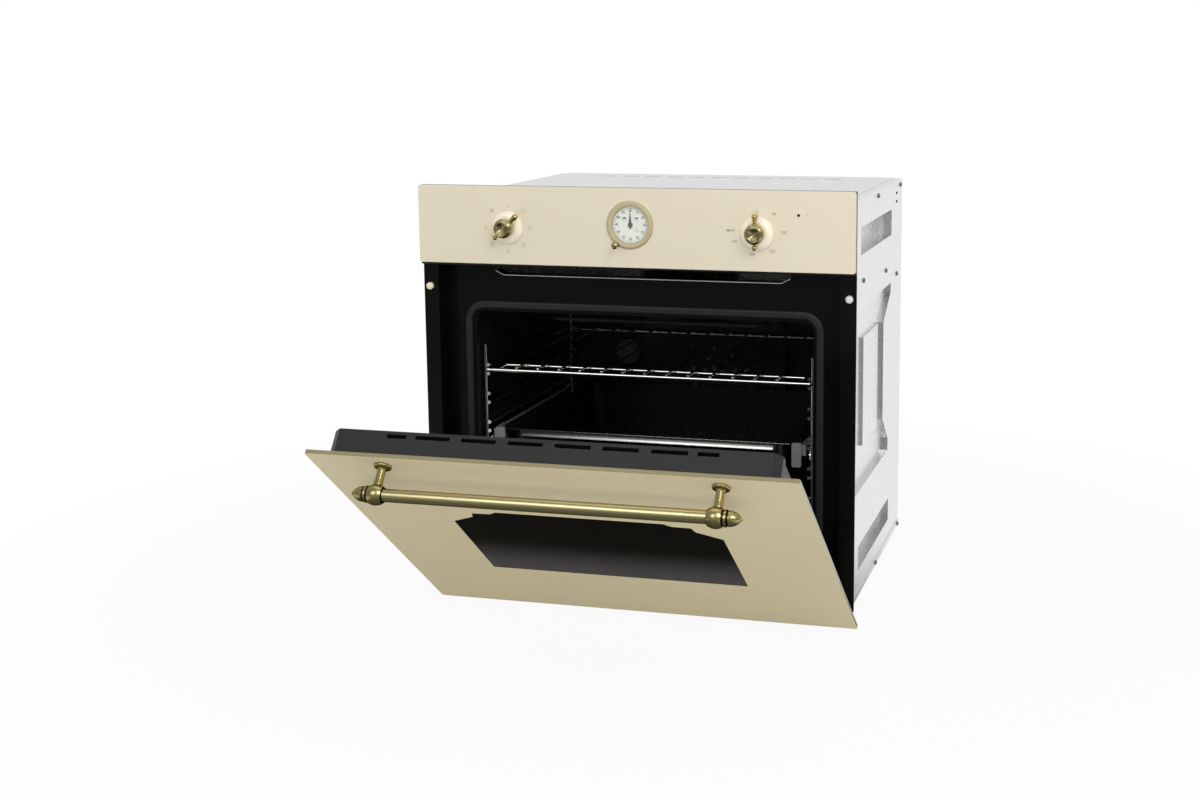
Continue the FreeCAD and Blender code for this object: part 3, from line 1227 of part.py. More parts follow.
def door_top_trim():
    """Dark cover along the top of the door, with a row of air slots."""
    depth = (GLASS_T, DOOR_REAR)
    wall = TRIM_WALL
    trim = front_prism(trim_outline(0, TRIM_Z0), depth)
    inside = front_prism(trim_outline(wall, TRIM_Z0 - 1), (depth[0] + wall, depth[1] - wall))
    slot_d = (DOOR_REAR - wall - 2 - TRIM_SLOT_W, DOOR_REAR - wall - 2)
    slots = [(-TRIM_SLOT_END, TRIM_SLOT_SHORT), (TRIM_SLOT_END, TRIM_SLOT_SHORT)]
    first = -TRIM_SLOT_PITCH * (TRIM_LONG_SLOTS - 1) / 2
    for step in range(TRIM_LONG_SLOTS):
        slots.append((first + step * TRIM_SLOT_PITCH, TRIM_SLOT_LONG))
    cuts = [inside]
    for x, length in slots:
        cuts.append(block((x - length / 2, x + length / 2), slot_d, (TRIM_Z1 - wall - 1, TRIM_Z1 + 1)))
    return trim.cut(cuts)


def handle_bar():
    """Brass tube between the two handle brackets."""
    half = HANDLE_HALF - HANDLE_NECK
    return rod((-half, -HANDLE_STANDOFF, HANDLE_Z), (half, -HANDLE_STANDOFF, HANDLE_Z), HANDLE_BAR_R)


def handle_bracket():
    """Right-hand cast bracket: post with a rose on the glass, ball and ringed acorn finial."""
    out = HANDLE_STANDOFF
    rose = HANDLE_ROSE_R
    stem = HANDLE_POST_R
    ball = HANDLE_BALL_R
    post = turned([(0, 0), (rose - 1.2, 0), ("arc", (rose, 2.0), (rose - 2.6, 4.2)), (stem + 0.5, 4.9),
                   (stem - 0.2, 6.6), (stem, out / 2), (stem + 0.5, out - ball), (stem + 0.5, out), (0, out)],
                  at(HANDLE_HALF, 0, HANDLE_Z), V(0, -1, 0))
    tip = FINIAL_LENGTH
    ring = ball * 0.55
    head = turned([(0, -HANDLE_NECK), (HANDLE_BAR_R + 1.3, -HANDLE_NECK),
                   ("arc", (ball, -0.5), (ball - 1.9, ring)),
                   (ball - 3.3, ring + 0.4), (ball - 3.3, ring + 2.3), (ball - 2.5, ring + 2.7),
                   (ball - 2.5, ring + 5.3), (ball - 3.7, ring + 5.7), (ball - 3.7, ring + 7.4),
                   (ball - 3.3, ring + 7.8), ("arc", (ball - 5.2, tip - 7.8), (2.2, tip - 2)),
                   ("arc", (1.6, tip - 0.5), (TIP_FLAT, tip)), (0, tip)],
                  at(HANDLE_HALF, -out, HANDLE_Z), V(1, 0, 0))
    return fused([post, head])


def pieces():
    """Every piece of the oven by name, with the door at its resting angle."""
    right_rack = side_rack()
    right_side = case_side()
    made = {
        "case_side_left": mirrored(right_side),
        "case_side_right": right_side,
        "case_top": case_top(),
        "case_base": case_base(),
        "case_back": case_back(),
        "case_screws": case_screws(),
        "front_frame": front_frame(),
        "door_bumpers": door_bumpers(),
        "air_deflector": air_deflector(),
        "cavity_liner": cavity_liner(),
        "insulation": insulation(),
        "door_gasket": door_gasket(),
        "rack_left": mirrored(right_rack),
        "rack_right": right_rack,
        "rack_screws": rack_screws(),
        "wire_shelf": wire_shelf(),
        "baking_tray": baking_tray(),
        "runner_rails": pair(runner_rail()),
        "runner_slides": pair(runner_slide()),
        "grill_element": heater(GRILL_Z, TERMINAL_END),
        "bottom_element": heater(BOTTOM_Z, INS_REAR),
        "ring_element": ring_element(),
        "fan_baffle": fan_baffle(),
        "convection_fan": convection_fan(),
        "fan_shaft": fan_shaft(),
        "fan_motor": fan_motor(),
        "lamp_lens": lamp_lens(),
        "lamp_holder": lamp_holder(),
        "thermostat_sensor": thermostat_sensor(),
        "control_panel": control_panel(),
        "panel_bracket": panel_bracket(),
        "function_switch": rotary_switch(-KNOB_X),
        "function_spindle": knob_spindle(-KNOB_X),
        "function_knob": lever_knob(-KNOB_X, FUNCTION_TURN),
        "thermostat_body": rotary_switch(KNOB_X),
        "thermostat_spindle": knob_spindle(KNOB_X),
        "thermostat_knob": lever_knob(KNOB_X, 0),
        "knob_skirts": pair(knob_skirt(KNOB_X)),
        "clock_body": clock_body(),
        "clock_bezel": clock_bezel(),
        "clock_dial": clock_dial(),
        "clock_lens": clock_lens(),
        "hour_hand": hour_hand(),
        "minute_hand": minute_hand(),
        "clock_set_knob": clock_set_knob(),
        "indicator_lens": indicator_lens(),
        "blower_housing": blower_housing(),
        "blower_rotor": blower_rotor(),
        "blower_motor": blower_motor(),
        "terminal_box": terminal_box(),
        "hinge_arms": pair(hinge_arm()),
        "hinge_pins": pair(hinge_pin()),
    }
    door = {
        "hinge_tongues": pair(hinge_tongue()),
        "door_glass": door_glass(),
        "door_window": door_window(),
        "door_inner_glass": door_inner_glass(),
        "door_columns": pair(door_column()),
        "door_top_trim": door_top_trim(),
        "handle_bar": handle_bar(),
        "handle_brackets": pair(handle_bracket()),
    }
    for name, shape in door.items():
        made[name] = opened(shape)
    return made


def main():
    """Write every piece as one STEP file."""
    os.makedirs("parts", exist_ok=True)
    for name, shape in pieces().items():
        shape.exportStep("parts/" + name + ".step")
        print(name, len(shape.Solids), shape.isValid(), round(shape.Volume / 1000, 1))


main()
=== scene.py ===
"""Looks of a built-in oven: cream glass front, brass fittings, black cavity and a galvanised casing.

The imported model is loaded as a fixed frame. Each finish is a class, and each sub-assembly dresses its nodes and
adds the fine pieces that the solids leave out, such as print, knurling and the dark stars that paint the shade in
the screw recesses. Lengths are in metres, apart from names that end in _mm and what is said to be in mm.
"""

import json
import logging
import math
from collections.abc import Iterable, Sequence
from dataclasses import asdict, dataclass, field
from enum import Enum, Flag, IntEnum

import bmesh
import bpy
from mathutils import Matrix, Vector


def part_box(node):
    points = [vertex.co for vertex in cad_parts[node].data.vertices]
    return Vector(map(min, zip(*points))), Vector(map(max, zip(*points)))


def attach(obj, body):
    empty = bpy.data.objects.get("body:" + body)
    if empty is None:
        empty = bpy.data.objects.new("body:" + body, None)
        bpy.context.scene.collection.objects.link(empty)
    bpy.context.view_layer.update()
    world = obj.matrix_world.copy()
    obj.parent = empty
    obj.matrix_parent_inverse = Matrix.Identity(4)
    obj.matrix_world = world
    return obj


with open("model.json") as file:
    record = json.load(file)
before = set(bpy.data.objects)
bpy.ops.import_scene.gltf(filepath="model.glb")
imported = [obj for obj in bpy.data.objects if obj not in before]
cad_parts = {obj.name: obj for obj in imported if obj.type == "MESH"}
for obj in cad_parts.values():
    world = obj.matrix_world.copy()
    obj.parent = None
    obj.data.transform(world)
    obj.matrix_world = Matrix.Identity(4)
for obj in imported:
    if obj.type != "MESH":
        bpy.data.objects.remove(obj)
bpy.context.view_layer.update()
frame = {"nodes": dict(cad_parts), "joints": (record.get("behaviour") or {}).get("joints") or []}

log = logging.getLogger("oven")

Socket = bpy.types.NodeSocket
Tree = bpy.types.NodeTree
Node = bpy.types.Node
Mesh = bpy.types.Mesh
Shape = bmesh.types.BMesh
Point = tuple[float, float]
Triple = tuple[float, float, float]

MM = 0.001
ORIGIN = (0.0, 0.0, 0.0)
ACROSS = (1.0, 0.0, 0.0)

# How far the door stands open at rest, and where its face and its upper edge then point
DOOR_ANGLE = math.radians(52.6)
DOOR_FACE = (0.0, -math.cos(DOOR_ANGLE), -math.sin(DOOR_ANGLE))
DOOR_UP = (0.0, -math.sin(DOOR_ANGLE), math.cos(DOOR_ANGLE))

# Heights between which a noise texture mostly stays
RELIEF_SPAN = (0.3, 0.7)


class Slot(Enum):
    """Material slots of the record, by name."""

    ZINC = "zinc_screw"
    STEEL = "plain_steel"
    CHROME = "chrome_wire"
    CREAM_GLASS = "cream_glass"
    DIAL = "dial_white"
    PLASTIC = "black_plastic"
    RUBBER = "seal_rubber"


class Side(Enum):
    """The two sides of the oven, as seen from the front."""

    LEFT = -1
    RIGHT = 1


class Facing(Enum):
    """Where the axis of a small repeated shape points, as the turn that brings it there from upright."""

    SIDE = (0.0, math.pi / 2, 0.0)
    FRONT = (math.pi / 2, 0.0, 0.0)


class Heat(Flag):
    """What works at a position of the function knob."""

    TOP = 1
    BOTTOM = 2
    FAN = 4


class Steps(IntEnum):
    """Number of straight pieces in the round forms that are drawn here."""

    CORNER = 6
    BULGE = 8
    FAN = 10
    DOT = 12
    BELL = 14
    HOOP = 24
    CAP = 32
    RING = 72
    FLOOR = 96


def linear(code: str) -> tuple[float, float, float, float]:
    """Turns an sRGB hex colour to linear light.

    Args:
        code: Six hex digits.

    Returns:
        Linear red, green and blue, and full opacity.
    """
    values = [int(code[i:i + 2], 16) / 255 for i in (0, 2, 4)]
    light = [v / 12.92 if v <= 0.04045 else ((v + 0.055) / 1.055) ** 2.4 for v in values]
    return light[0], light[1], light[2], 1.0


def per_metre(size_mm: float) -> float:
    """Gives the texture scale whose features are about size_mm across."""
    return 1.0 / (size_mm * MM)


def add(tree: Tree, kind: str, inputs: dict | None = None, **settings: object) -> Node:
    """Adds a node to a tree with its settings and links.

    Args:
        tree: Tree that gets the node.
        kind: Blender's name of the node type.
        inputs: Value or output socket for each input, by name or by number.
        settings: Properties of the node.

    Returns:
        The new node.
    """
    node = tree.nodes.new(kind)
    for name, value in settings.items():
        setattr(node, name, value)
    for key, value in (inputs or {}).items():
        if isinstance(value, Socket):
            tree.links.new(value, node.inputs[key])
        else:
            node.inputs[key].default_value = value
    return node


def emptied(owner: bpy.types.Material | bpy.types.World) -> Tree:
    """Empties the node tree of a new material or world.

    Args:
        owner: The material or world.

    Returns:
        Its tree.
    """
    owner.use_nodes = True
    owner.node_tree.nodes.clear()
    return owner.node_tree


def distance(tree: Tree, place: Socket, centre: Triple, weight: Triple) -> Socket:
    """Measures how far a spot lies from a centre.

    Args:
        tree: Tree that gets the nodes.
        place: Object coordinates.
        centre: The centre.
        weight: How much the way along X, Y and Z counts.

    Returns:
        The socket of the distance.
    """
    start = tuple(-c * w for c, w in zip(centre, weight))
    moved = add(tree, "ShaderNodeMapping", {"Vector": place, "Location": start, "Scale": weight})
    return add(tree, "ShaderNodeVectorMath", {0: moved.outputs[0]}, operation="LENGTH").outputs["Value"]


@dataclass(frozen=True)
class Finish:
    """A surface whose tone drifts slowly between two colours, over a fine relief.

    Attributes:
        name: Common name of the material and of how its surface was made.
        tones: The two sRGB colours that it drifts between.
        patch_mm: Size of the drift.
        rough: Lowest and highest roughness.
        metallic: 1 for bare metal.
        ior: Index of refraction, left at the default on a metal.
        grain_mm: Size of the fine relief.
        relief: Strength of the relief.
        stretch: How much the grain is drawn out along X, Y and Z.
        specular: Specular level, 0.5 for the plain Fresnel value.
        rim_tint: Tint of what it mirrors where the surface turns away.
    """

    name: str
    tones: tuple[str, str]
    patch_mm: float = 40.0
    rough: Point = (0.3, 0.4)
    metallic: float = 0.0
    ior: float = 1.5
    grain_mm: float = 1.0
    relief: float = 0.03
    stretch: Triple = (1.0, 1.0, 1.0)
    specular: float = 0.5
    rim_tint: str = "ffffff"

    def share(self, tree: Tree, place: Socket) -> Socket:
        """Says how much of the second tone a spot has: here by a slow noise."""
        inputs = {"Vector": place, "Scale": per_metre(self.patch_mm), "Detail": 3.0}
        return add(tree, "ShaderNodeTexNoise", inputs).outputs["Fac"]

    def areas(self, tree: Tree, place: Socket) -> list[tuple[Socket, str]]:
        """Gives the mask and the colour of each area that differs: here none."""
        return []

    def colour(self, tree: Tree, place: Socket) -> Socket:
        """Mixes the two tones and lays the areas that differ over them.

        Args:
            tree: Tree of the material.
            place: Object coordinates.

        Returns:
            The colour socket.
        """
        tone = linear(self.tones[0])
        for share, code in ((self.share(tree, place), self.tones[1]), *self.areas(tree, place)):
            mixed = add(tree, "ShaderNodeMix", {0: share, 6: tone, 7: linear(code)}, data_type="RGBA")
            tone = mixed.outputs[2]
        return tone

    def height(self, tree: Tree, place: Socket) -> Socket:
        """Makes the fine relief.

        Args:
            tree: Tree of the material.
            place: Object coordinates.

        Returns:
            The height socket.
        """
        scale = tuple(1.0 / s for s in self.stretch)
        along = add(tree, "ShaderNodeMapping", {"Vector": place, "Scale": scale}).outputs[0]
        inputs = {"Vector": along, "Scale": per_metre(self.grain_mm), "Detail": 4.0}
        return add(tree, "ShaderNodeTexNoise", inputs).outputs["Fac"]

    def shader(self, tree: Tree, place: Socket) -> Node:
        """Builds the shader from the colour and the relief.

        Args:
            tree: Tree of the material.
            place: Object coordinates.

        Returns:
            The shader node.
        """
        height = self.height(tree, place)
        rough = add(tree, "ShaderNodeMapRange", {
            "Value": height, "From Min": RELIEF_SPAN[0], "From Max": RELIEF_SPAN[1],
            "To Min": self.rough[0], "To Max": self.rough[1]})
        bump = add(tree, "ShaderNodeBump", {
            "Height": height, "Strength": self.relief, "Distance": self.grain_mm * MM})
        return add(tree, "ShaderNodeBsdfPrincipled", {
            "Base Color": self.colour(tree, place), "Roughness": rough.outputs[0], "Metallic": self.metallic,
            "IOR": self.ior, "Normal": bump.outputs[0], "Specular IOR Level": self.specular,
            "Specular Tint": linear(self.rim_tint)})

    def material(self) -> bpy.types.Material:
        """Makes the material at its first use.

        Returns:
            The material.
        """
        known = bpy.data.materials.get(self.name)
        if known:
            return known
        made = bpy.data.materials.new(self.name)
        tree = emptied(made)
        place = add(tree, "ShaderNodeTexCoord").outputs["Object"]
        add(tree, "ShaderNodeOutputMaterial", {"Surface": self.shader(tree, place).outputs[0]})
        return made


@dataclass(frozen=True)
class SpangledZinc(Finish):
    """Hot-dip galvanised sheet: flat crystals a few millimetres wide, each a slightly different grey.

    Attributes:
        spangle_mm: Size of a crystal.
    """

    spangle_mm: float = 7.0

    def share(self, tree: Tree, place: Socket) -> Socket:
        """Gives each zinc crystal its own tone, over a slow drift.

        Args:
            tree: Tree of the material.
            place: Object coordinates.

        Returns:
            The socket of the share.
        """
        cells = add(tree, "ShaderNodeTexVoronoi", {"Vector": place, "Scale": per_metre(self.spangle_mm)})
        cell = add(tree, "ShaderNodeSeparateColor", {"Color": cells.outputs["Color"]}).outputs[0]
        drift = add(tree, "ShaderNodeTexNoise", {"Vector": place, "Scale": per_metre(self.patch_mm)})
        return add(tree, "ShaderNodeMath", {0: cell, 1: drift.outputs["Fac"]}, operation="MULTIPLY").outputs[0]


@dataclass(frozen=True)
class PressedZinc(SpangledZinc):
    """Galvanised sheet with hand-holds drawn into it, where the stretched zinc is dull.

    Attributes:
        drawn: From the oven's middle plane to where the sheet is bright, and to where it is fully dull.
        drawn_tone: Colour of the stretched zinc.
        drawn_metallic: How metallic it looks.
    """

    drawn: Point = (1.0, 0.0)
    drawn_tone: str = "e8e8e6"
    drawn_metallic: float = 0.25

    def dull(self, tree: Tree, place: Socket) -> Socket:
        """Tells the hand-holds, 1, from the bright sheet, 0, by the distance from the middle plane."""
        side, (first, last) = distance(tree, place, ORIGIN, ACROSS), self.drawn
        return add(tree, "ShaderNodeMapRange", {"Value": side, "From Min": first, "From Max": last}).outputs[0]

    def areas(self, tree: Tree, place: Socket) -> list[tuple[Socket, str]]:
        """Gives the hand-holds the tone of the stretched zinc."""
        return [(self.dull(tree, place), self.drawn_tone)]

    def shader(self, tree: Tree, place: Socket) -> Node:
        """Builds the shader and dulls it in the hand-holds.

        Args:
            tree: Tree of the material.
            place: Object coordinates.

        Returns:
            The shader node.
        """
        node = super().shader(tree, place)
        share = add(tree, "ShaderNodeMapRange", {
            "Value": self.dull(tree, place), "To Min": self.metallic, "To Max": self.drawn_metallic})
        tree.links.new(share.outputs[0], node.inputs["Metallic"])
        return node


@dataclass(frozen=True)
class Faced(Finish):
    """A sheet whose face and edges differ: glass painted on its rear looks greyer at its ground edges.
    On the door the edges are also darkened as painted shade; on the air outlet the face is a painted highlight.

    Attributes:
        face: Where the face looks.
        edge: Colour of the edges.
        square: How squarely a spot looks that way where the edge's colour begins and where it is whole.
    """

    face: Triple = (0.0, -1.0, 0.0)
    edge: str = "b4ad98"
    square: Point = (0.9, 0.55)

    def areas(self, tree: Tree, place: Socket) -> list[tuple[Socket, str]]:
        """Gives what faces sideways the colour of the edge.

        Args:
            tree: Tree of the material.
            place: Object coordinates.

        Returns:
            The mask and the colour of the edges.
        """
        normal = add(tree, "ShaderNodeTexCoord").outputs["Normal"]
        facing = add(tree, "ShaderNodeVectorMath", {0: normal, 1: self.face}, operation="DOT_PRODUCT")
        front = add(tree, "ShaderNodeMath", {0: facing.outputs["Value"]}, operation="ABSOLUTE")
        aside = add(tree, "ShaderNodeMapRange", {
            "Value": front.outputs[0], "From Min": self.square[0], "From Max": self.square[1]})
        return [(aside.outputs[0], self.edge)]


@dataclass(frozen=True)
class TurnedBrass(Finish):
    """Lathe-turned antique brass: fine rings on a patinated hub, and a lever of brighter gold, polished by the
    hand and with a painted highlight.

    Attributes:
        axis: Place of the spindle's axis, as X and Z.
        groove_mm: From ring to ring, coarser than real tool marks so that they show.
        hub_mm: Radius of the hub.
        edge_mm: Width over which the hub's finish changes to the lever's.
        lever: Colour of the lever: its polish, and a painted highlight.
    """

    axis: Point = (0.0, 0.0)
    groove_mm: float = 0.7
    hub_mm: float = 13.2
    edge_mm: float = 1.0
    lever: str = "c7b074"

    def radius(self, tree: Tree, place: Socket) -> Socket:
        """Gives the distance from the spindle's axis."""
        return distance(tree, place, (self.axis[0], 0.0, self.axis[1]), (1.0, 0.0, 1.0))

    def outside(self, tree: Tree, place: Socket) -> Socket:
        """Tells the lever, 1, from the hub, 0, by the distance from the axis."""
        away, first, last = self.radius(tree, place), self.hub_mm * MM, (self.hub_mm + self.edge_mm) * MM
        return add(tree, "ShaderNodeMapRange", {"Value": away, "From Min": first, "From Max": last}).outputs[0]

    def areas(self, tree: Tree, place: Socket) -> list[tuple[Socket, str]]:
        """Gives the lever its brighter gold, partly a painted highlight."""
        return [(self.outside(tree, place), self.lever)]

    def height(self, tree: Tree, place: Socket) -> Socket:
        """Cuts fine rings round the spindle's axis, on the hub alone.

        Args:
            tree: Tree of the material.
            place: Object coordinates.

        Returns:
            The height socket.
        """
        low, high = RELIEF_SPAN
        turns = add(tree, "ShaderNodeMath", {
            0: self.radius(tree, place), 1: math.tau * per_metre(self.groove_mm)}, operation="MULTIPLY")
        wave = add(tree, "ShaderNodeMath", {0: turns.outputs[0]}, operation="SINE")
        rings = add(tree, "ShaderNodeMapRange", {
            "Value": wave.outputs[0], "From Min": -1.0, "From Max": 1.0, "To Min": low, "To Max": high})
        level = {0: self.outside(tree, place), 2: rings.outputs[0], 3: (low + high) / 2}
        return add(tree, "ShaderNodeMix", level).outputs[0]


@dataclass(frozen=True)
class GroovedBrass(Finish):
    """Cast brass with painted shade, nearly black, in the grooves that run round its axis, which lies along X.

    Attributes:
        axis: Place of the axis, as Y and Z.
        head_mm: Radius round the axis beyond which the casting has no grooves.
        grooves: Place from the middle and half width of each groove, in mm.
        groove_shade: Colour painted in the grooves as shade.
    """

    axis: Point = (0.0, 0.0)
    head_mm: float = 15.0
    grooves: tuple[Point, ...] = ()
    groove_shade: str = "3a321a"

    def areas(self, tree: Tree, place: Socket) -> list[tuple[Socket, str]]:
        """Darkens the brass in its grooves, as painted shade.

        Args:
            tree: Tree of the material.
            place: Object coordinates.

        Returns:
            The mask and the colour of each groove.
        """
        radius = distance(tree, place, (0.0, *self.axis), (0.0, 1.0, 1.0))
        head = add(tree, "ShaderNodeMath", {0: radius, 1: self.head_mm * MM}, operation="LESS_THAN").outputs[0]
        side = distance(tree, place, ORIGIN, ACROSS)
        found = []
        for middle, half in self.grooves:
            inside = add(tree, "ShaderNodeMath", {0: side, 1: middle * MM, 2: half * MM}, operation="COMPARE")
            dark = add(tree, "ShaderNodeMath", {0: inside.outputs[0], 1: head}, operation="MULTIPLY")
            found.append((dark.outputs[0], self.groove_shade))
        return found


@dataclass(frozen=True)
class Graded(Finish):
    """A finish whose two tones change along one direction between two places.

    Attributes:
        along: The direction.
        span: Where the first tone ends and where the second is whole.
        waver: How far the change wanders, as a share of the span.
    """

    along: Triple = (0.0, 0.0, 1.0)
    span: Point = (0.0, 1.0)
    waver: float = 0.1

    def share(self, tree: Tree, place: Socket) -> Socket:
        """Fades from the first tone to the second along the direction.

        Args:
            tree: Tree of the material.
            place: Object coordinates.

        Returns:
            The socket of the share.
        """
        first, last = self.span
        run = add(tree, "ShaderNodeVectorMath", {0: place, 1: self.along}, operation="DOT_PRODUCT")
        drift = add(tree, "ShaderNodeTexNoise", {"Vector": place, "Scale": per_metre(self.patch_mm)})
        soft = add(tree, "ShaderNodeMath", {
            0: drift.outputs["Fac"], 1: self.waver * (last - first), 2: run.outputs["Value"]},
            operation="MULTIPLY_ADD")
        inputs = {"Value": soft.outputs[0], "From Min": first, "From Max": last}
        return add(tree, "ShaderNodeMapRange", inputs, interpolation_type="SMOOTHSTEP").outputs[0]


@dataclass(frozen=True)
class ClearPane(Finish):
    """A thin clear pane: mostly see-through, with a faint film of dust and a sharp gloss.

    Attributes:
        opacity: Share of what lies behind that the pane hides.
    """

    opacity: float = 0.12

    def shader(self, tree: Tree, place: Socket) -> Node:
        """Builds the shader and makes it see-through.

        Args:
            tree: Tree of the material.
            place: Object coordinates.

        Returns:
            The shader node.
        """
        node = super().shader(tree, place)
        node.inputs["Alpha"].default_value = self.opacity
        return node


# Zinc-coated sheet reflects the white studio softly, with a faint pattern of crystals
GALVANISED = SpangledZinc("galvanised_sheet", ("dcdddc", "e8e8e6"), patch_mm=60.0, rough=(0.24, 0.28),
                          metallic=1.0, grain_mm=9.0, relief=0.002)
# Plated screws are darker than the sheet and catch a light ring at the head's edge
ZINC = Finish("zinc_plated_screw", ("6f6f6b", "8c8c87"), patch_mm=3.0, rough=(0.25, 0.4), metallic=1.0,
              grain_mm=0.5)
# The recess of a screw head is shown as a flat dark star: painted shade, with some grime
RECESS_SHADE = Finish("screw_recess_shade_and_grime", ("1b1b1a", "2a2a28"), patch_mm=1.0, rough=(0.5, 0.7), metallic=0.6)
# Fired enamel is deep black with a slight orange peel
ENAMEL = Finish("black_vitreous_enamel", ("070806", "0d0e0c"), patch_mm=80.0, rough=(0.16, 0.26), grain_mm=4.0,
                relief=0.02, specular=0.14)
# Inside the cavity the enamel is a shade browner and mirrors the racks
CAVITY = Finish("cavity_vitreous_enamel", ("11120e", "1a1b16"), patch_mm=50.0, rough=(0.2, 0.28),
                grain_mm=12.0, relief=0.006, specular=0.3)
# The tray's enamel is thinner and less even
TRAY = Finish("tray_vitreous_enamel", ("0a0b0a", "121311"), patch_mm=60.0, rough=(0.22, 0.32), grain_mm=8.0,
              relief=0.008, specular=0.25)
# The air outlet's sheet is enamelled black; what faces the front, its cut edge, is painted pale grey as a
# highlight
OUTLET_EDGE_HIGHLIGHT = Faced("enamelled_outlet_painted_edge_highlight", ("a9a9a5", "c2c2be"), patch_mm=30.0, rough=(0.3, 0.4), grain_mm=2.0,
               edge="060706", specular=0.04)
# Painted highlights: the metal strip on the tray's lip, painted dark at the left and bright at the right, and the
# bead on its rim
TRAY_LIP_HIGHLIGHT = Graded("steel_lip_painted_reflection", ("3c3c3b", "d9d9d6"), patch_mm=25.0, rough=(0.25, 0.36), metallic=0.9,
                  grain_mm=0.6, stretch=(30.0, 1.0, 1.0), along=ACROSS, span=(-0.2, 0.12))
# Anthracite powder coat on the door's pressed parts is satin and finely grained
ANTHRACITE = Finish("anthracite_powder_coat", ("181818", "1f1f1e"), patch_mm=45.0, rough=(0.42, 0.55),
                    grain_mm=0.8, relief=0.12)
# Silicone rubber is matt, and a little dusty
RUBBER = Finish("silicone_seal", ("121312", "1a1b1a"), patch_mm=30.0, rough=(0.45, 0.6), grain_mm=1.2,
                relief=0.1)
# The bumpers are pale silicone, the left one yellowed by the light
BUMPER = Graded("moulded_silicone_bumper", ("e2d9c2", "cfcfcd"), patch_mm=4.0, rough=(0.35, 0.5), grain_mm=0.8,
                along=ACROSS, span=(-0.1, 0.1))
# Mineral wool is a dull yellow felt whose fibres lie flat
WOOL = Finish("mineral_wool_blanket", ("9c9068", "c9bd93"), patch_mm=14.0, rough=(0.9, 1.0), grain_mm=2.0,
              relief=0.9, stretch=(6.0, 6.0, 1.0))
# Bright chrome plate is a mirror with the faintest ripple of the drawn wire
CHROME = Finish("bright_chrome_wire", ("d6d6d4", "ecece9"), patch_mm=20.0, rough=(0.08, 0.14), metallic=1.0,
                grain_mm=3.0, relief=0.008)
# The runners and hinges are rolled steel with a grey plating, streaked along their length
RUNNER = Finish("plated_runner_steel", ("858583", "a2a29f"), patch_mm=25.0, rough=(0.28, 0.4), metallic=0.5,
                grain_mm=0.7, stretch=(1.0, 25.0, 1.0))
# Heater tubes are oxidised to a warm dark grey
HEATER = Finish("oxidised_heater_tube", ("2c2926", "4a443c"), patch_mm=18.0, rough=(0.45, 0.6), metallic=0.8,
                relief=0.1)
# Bare steel is a satin grey with a soft gloss
STEEL = Finish("bare_steel", ("8f8f8d", "a9a9a6"), patch_mm=25.0, rough=(0.3, 0.42), metallic=1.0, grain_mm=0.8)
# Glazed ceramic is off-white and shiny
CERAMIC = Finish("glazed_ceramic", ("d6d0c4", "e3ded3"), patch_mm=12.0, rough=(0.15, 0.3), grain_mm=3.0)
# Painted on its rear, the glass shows an even cream under a sharp gloss, pinker on the panel than on the door
PANEL_GLASS = Faced("back_painted_panel_glass", ("d5cbb4", "d9d0bb"), patch_mm=220.0, rough=(0.05, 0.09),
                    ior=1.52, grain_mm=60.0, relief=0.01)
# The door's edges are darker than the panel's: the ground glass's own tint, and painted shade
DOOR_GLASS = Faced("back_painted_door_glass", ("d2c6a2", "d7ccab"), patch_mm=260.0, rough=(0.05, 0.09),
                   ior=1.52, grain_mm=60.0, relief=0.01, face=DOOR_FACE, edge="857d5f")
# The skirts are stove-enamelled pressings, paler than the glass
SKIRT = Finish("cream_stove_enamel", ("ebe1c8", "f1e9d4"), patch_mm=15.0, rough=(0.2, 0.3), grain_mm=2.0)
# The clock's bezel has a satin champagne lacquer that hides the metal
BEZEL = Finish("champagne_lacquer", ("b0a482", "baae8c"), patch_mm=10.0, rough=(0.45, 0.55), metallic=0.1,
               grain_mm=0.5)
# Moulded black plastic is matt with a fine texture
PLASTIC = Finish("moulded_black_plastic", ("0f0f0f", "191919"), patch_mm=15.0, rough=(0.45, 0.6), grain_mm=0.6,
                 relief=0.1)
# The black caps in the flange's screw holes are painted shade that makes the holes look dark; they hardly show on
# the enamel
CAP = Finish("screw_hole_painted_shade", ("050505", "0b0b0b"), patch_mm=6.0, rough=(0.2, 0.3), specular=0.14)
# The dial is white card with a tooth to it, and the hands are blackened steel
DIAL = Finish("printed_dial_card", ("dcdfd5", "e5e7de"), patch_mm=9.0, rough=(0.5, 0.6), grain_mm=0.4)
HAND = Finish("blackened_hand", ("14150f", "22231b"), patch_mm=4.0, rough=(0.35, 0.5), metallic=0.4,
              grain_mm=0.5)
# Antique brass is brushed along the bar, with olive in its shadows
OLIVE = "4d4426"
BRASS = Finish("brushed_antique_brass", ("c8bc8c", "d4ca9b"), patch_mm=35.0, rough=(0.26, 0.34), metallic=1.0,
               grain_mm=0.8, relief=0.008, stretch=(40.0, 1.0, 1.0), rim_tint=OLIVE)
# Where hands polish it, cast brass is smoother and yellower
CAST_BRASS = Finish("polished_antique_brass", ("b4a672", "c4b783"), patch_mm=9.0, rough=(0.14, 0.22),
                    metallic=1.0, grain_mm=0.8)
# The window is black glass with a painted reflection: grey at its foot, turning black towards the top
WINDOW_PAINTED_REFLECTION = Graded("black_window_glass_painted_reflection", ("4a4849", "050505"), patch_mm=120.0, rough=(0.04, 0.07), ior=1.52,
                     grain_mm=60.0, relief=0.01, specular=0.05, along=DOOR_UP, span=(0.32, 0.43))
# The inner pane is tinted and lets little through
TINTED = ClearPane("tinted_inner_glass", ("0b0d0c", "121413"), patch_mm=120.0, rough=(0.04, 0.07), ior=1.52,
                   grain_mm=60.0, relief=0.01, opacity=0.82)
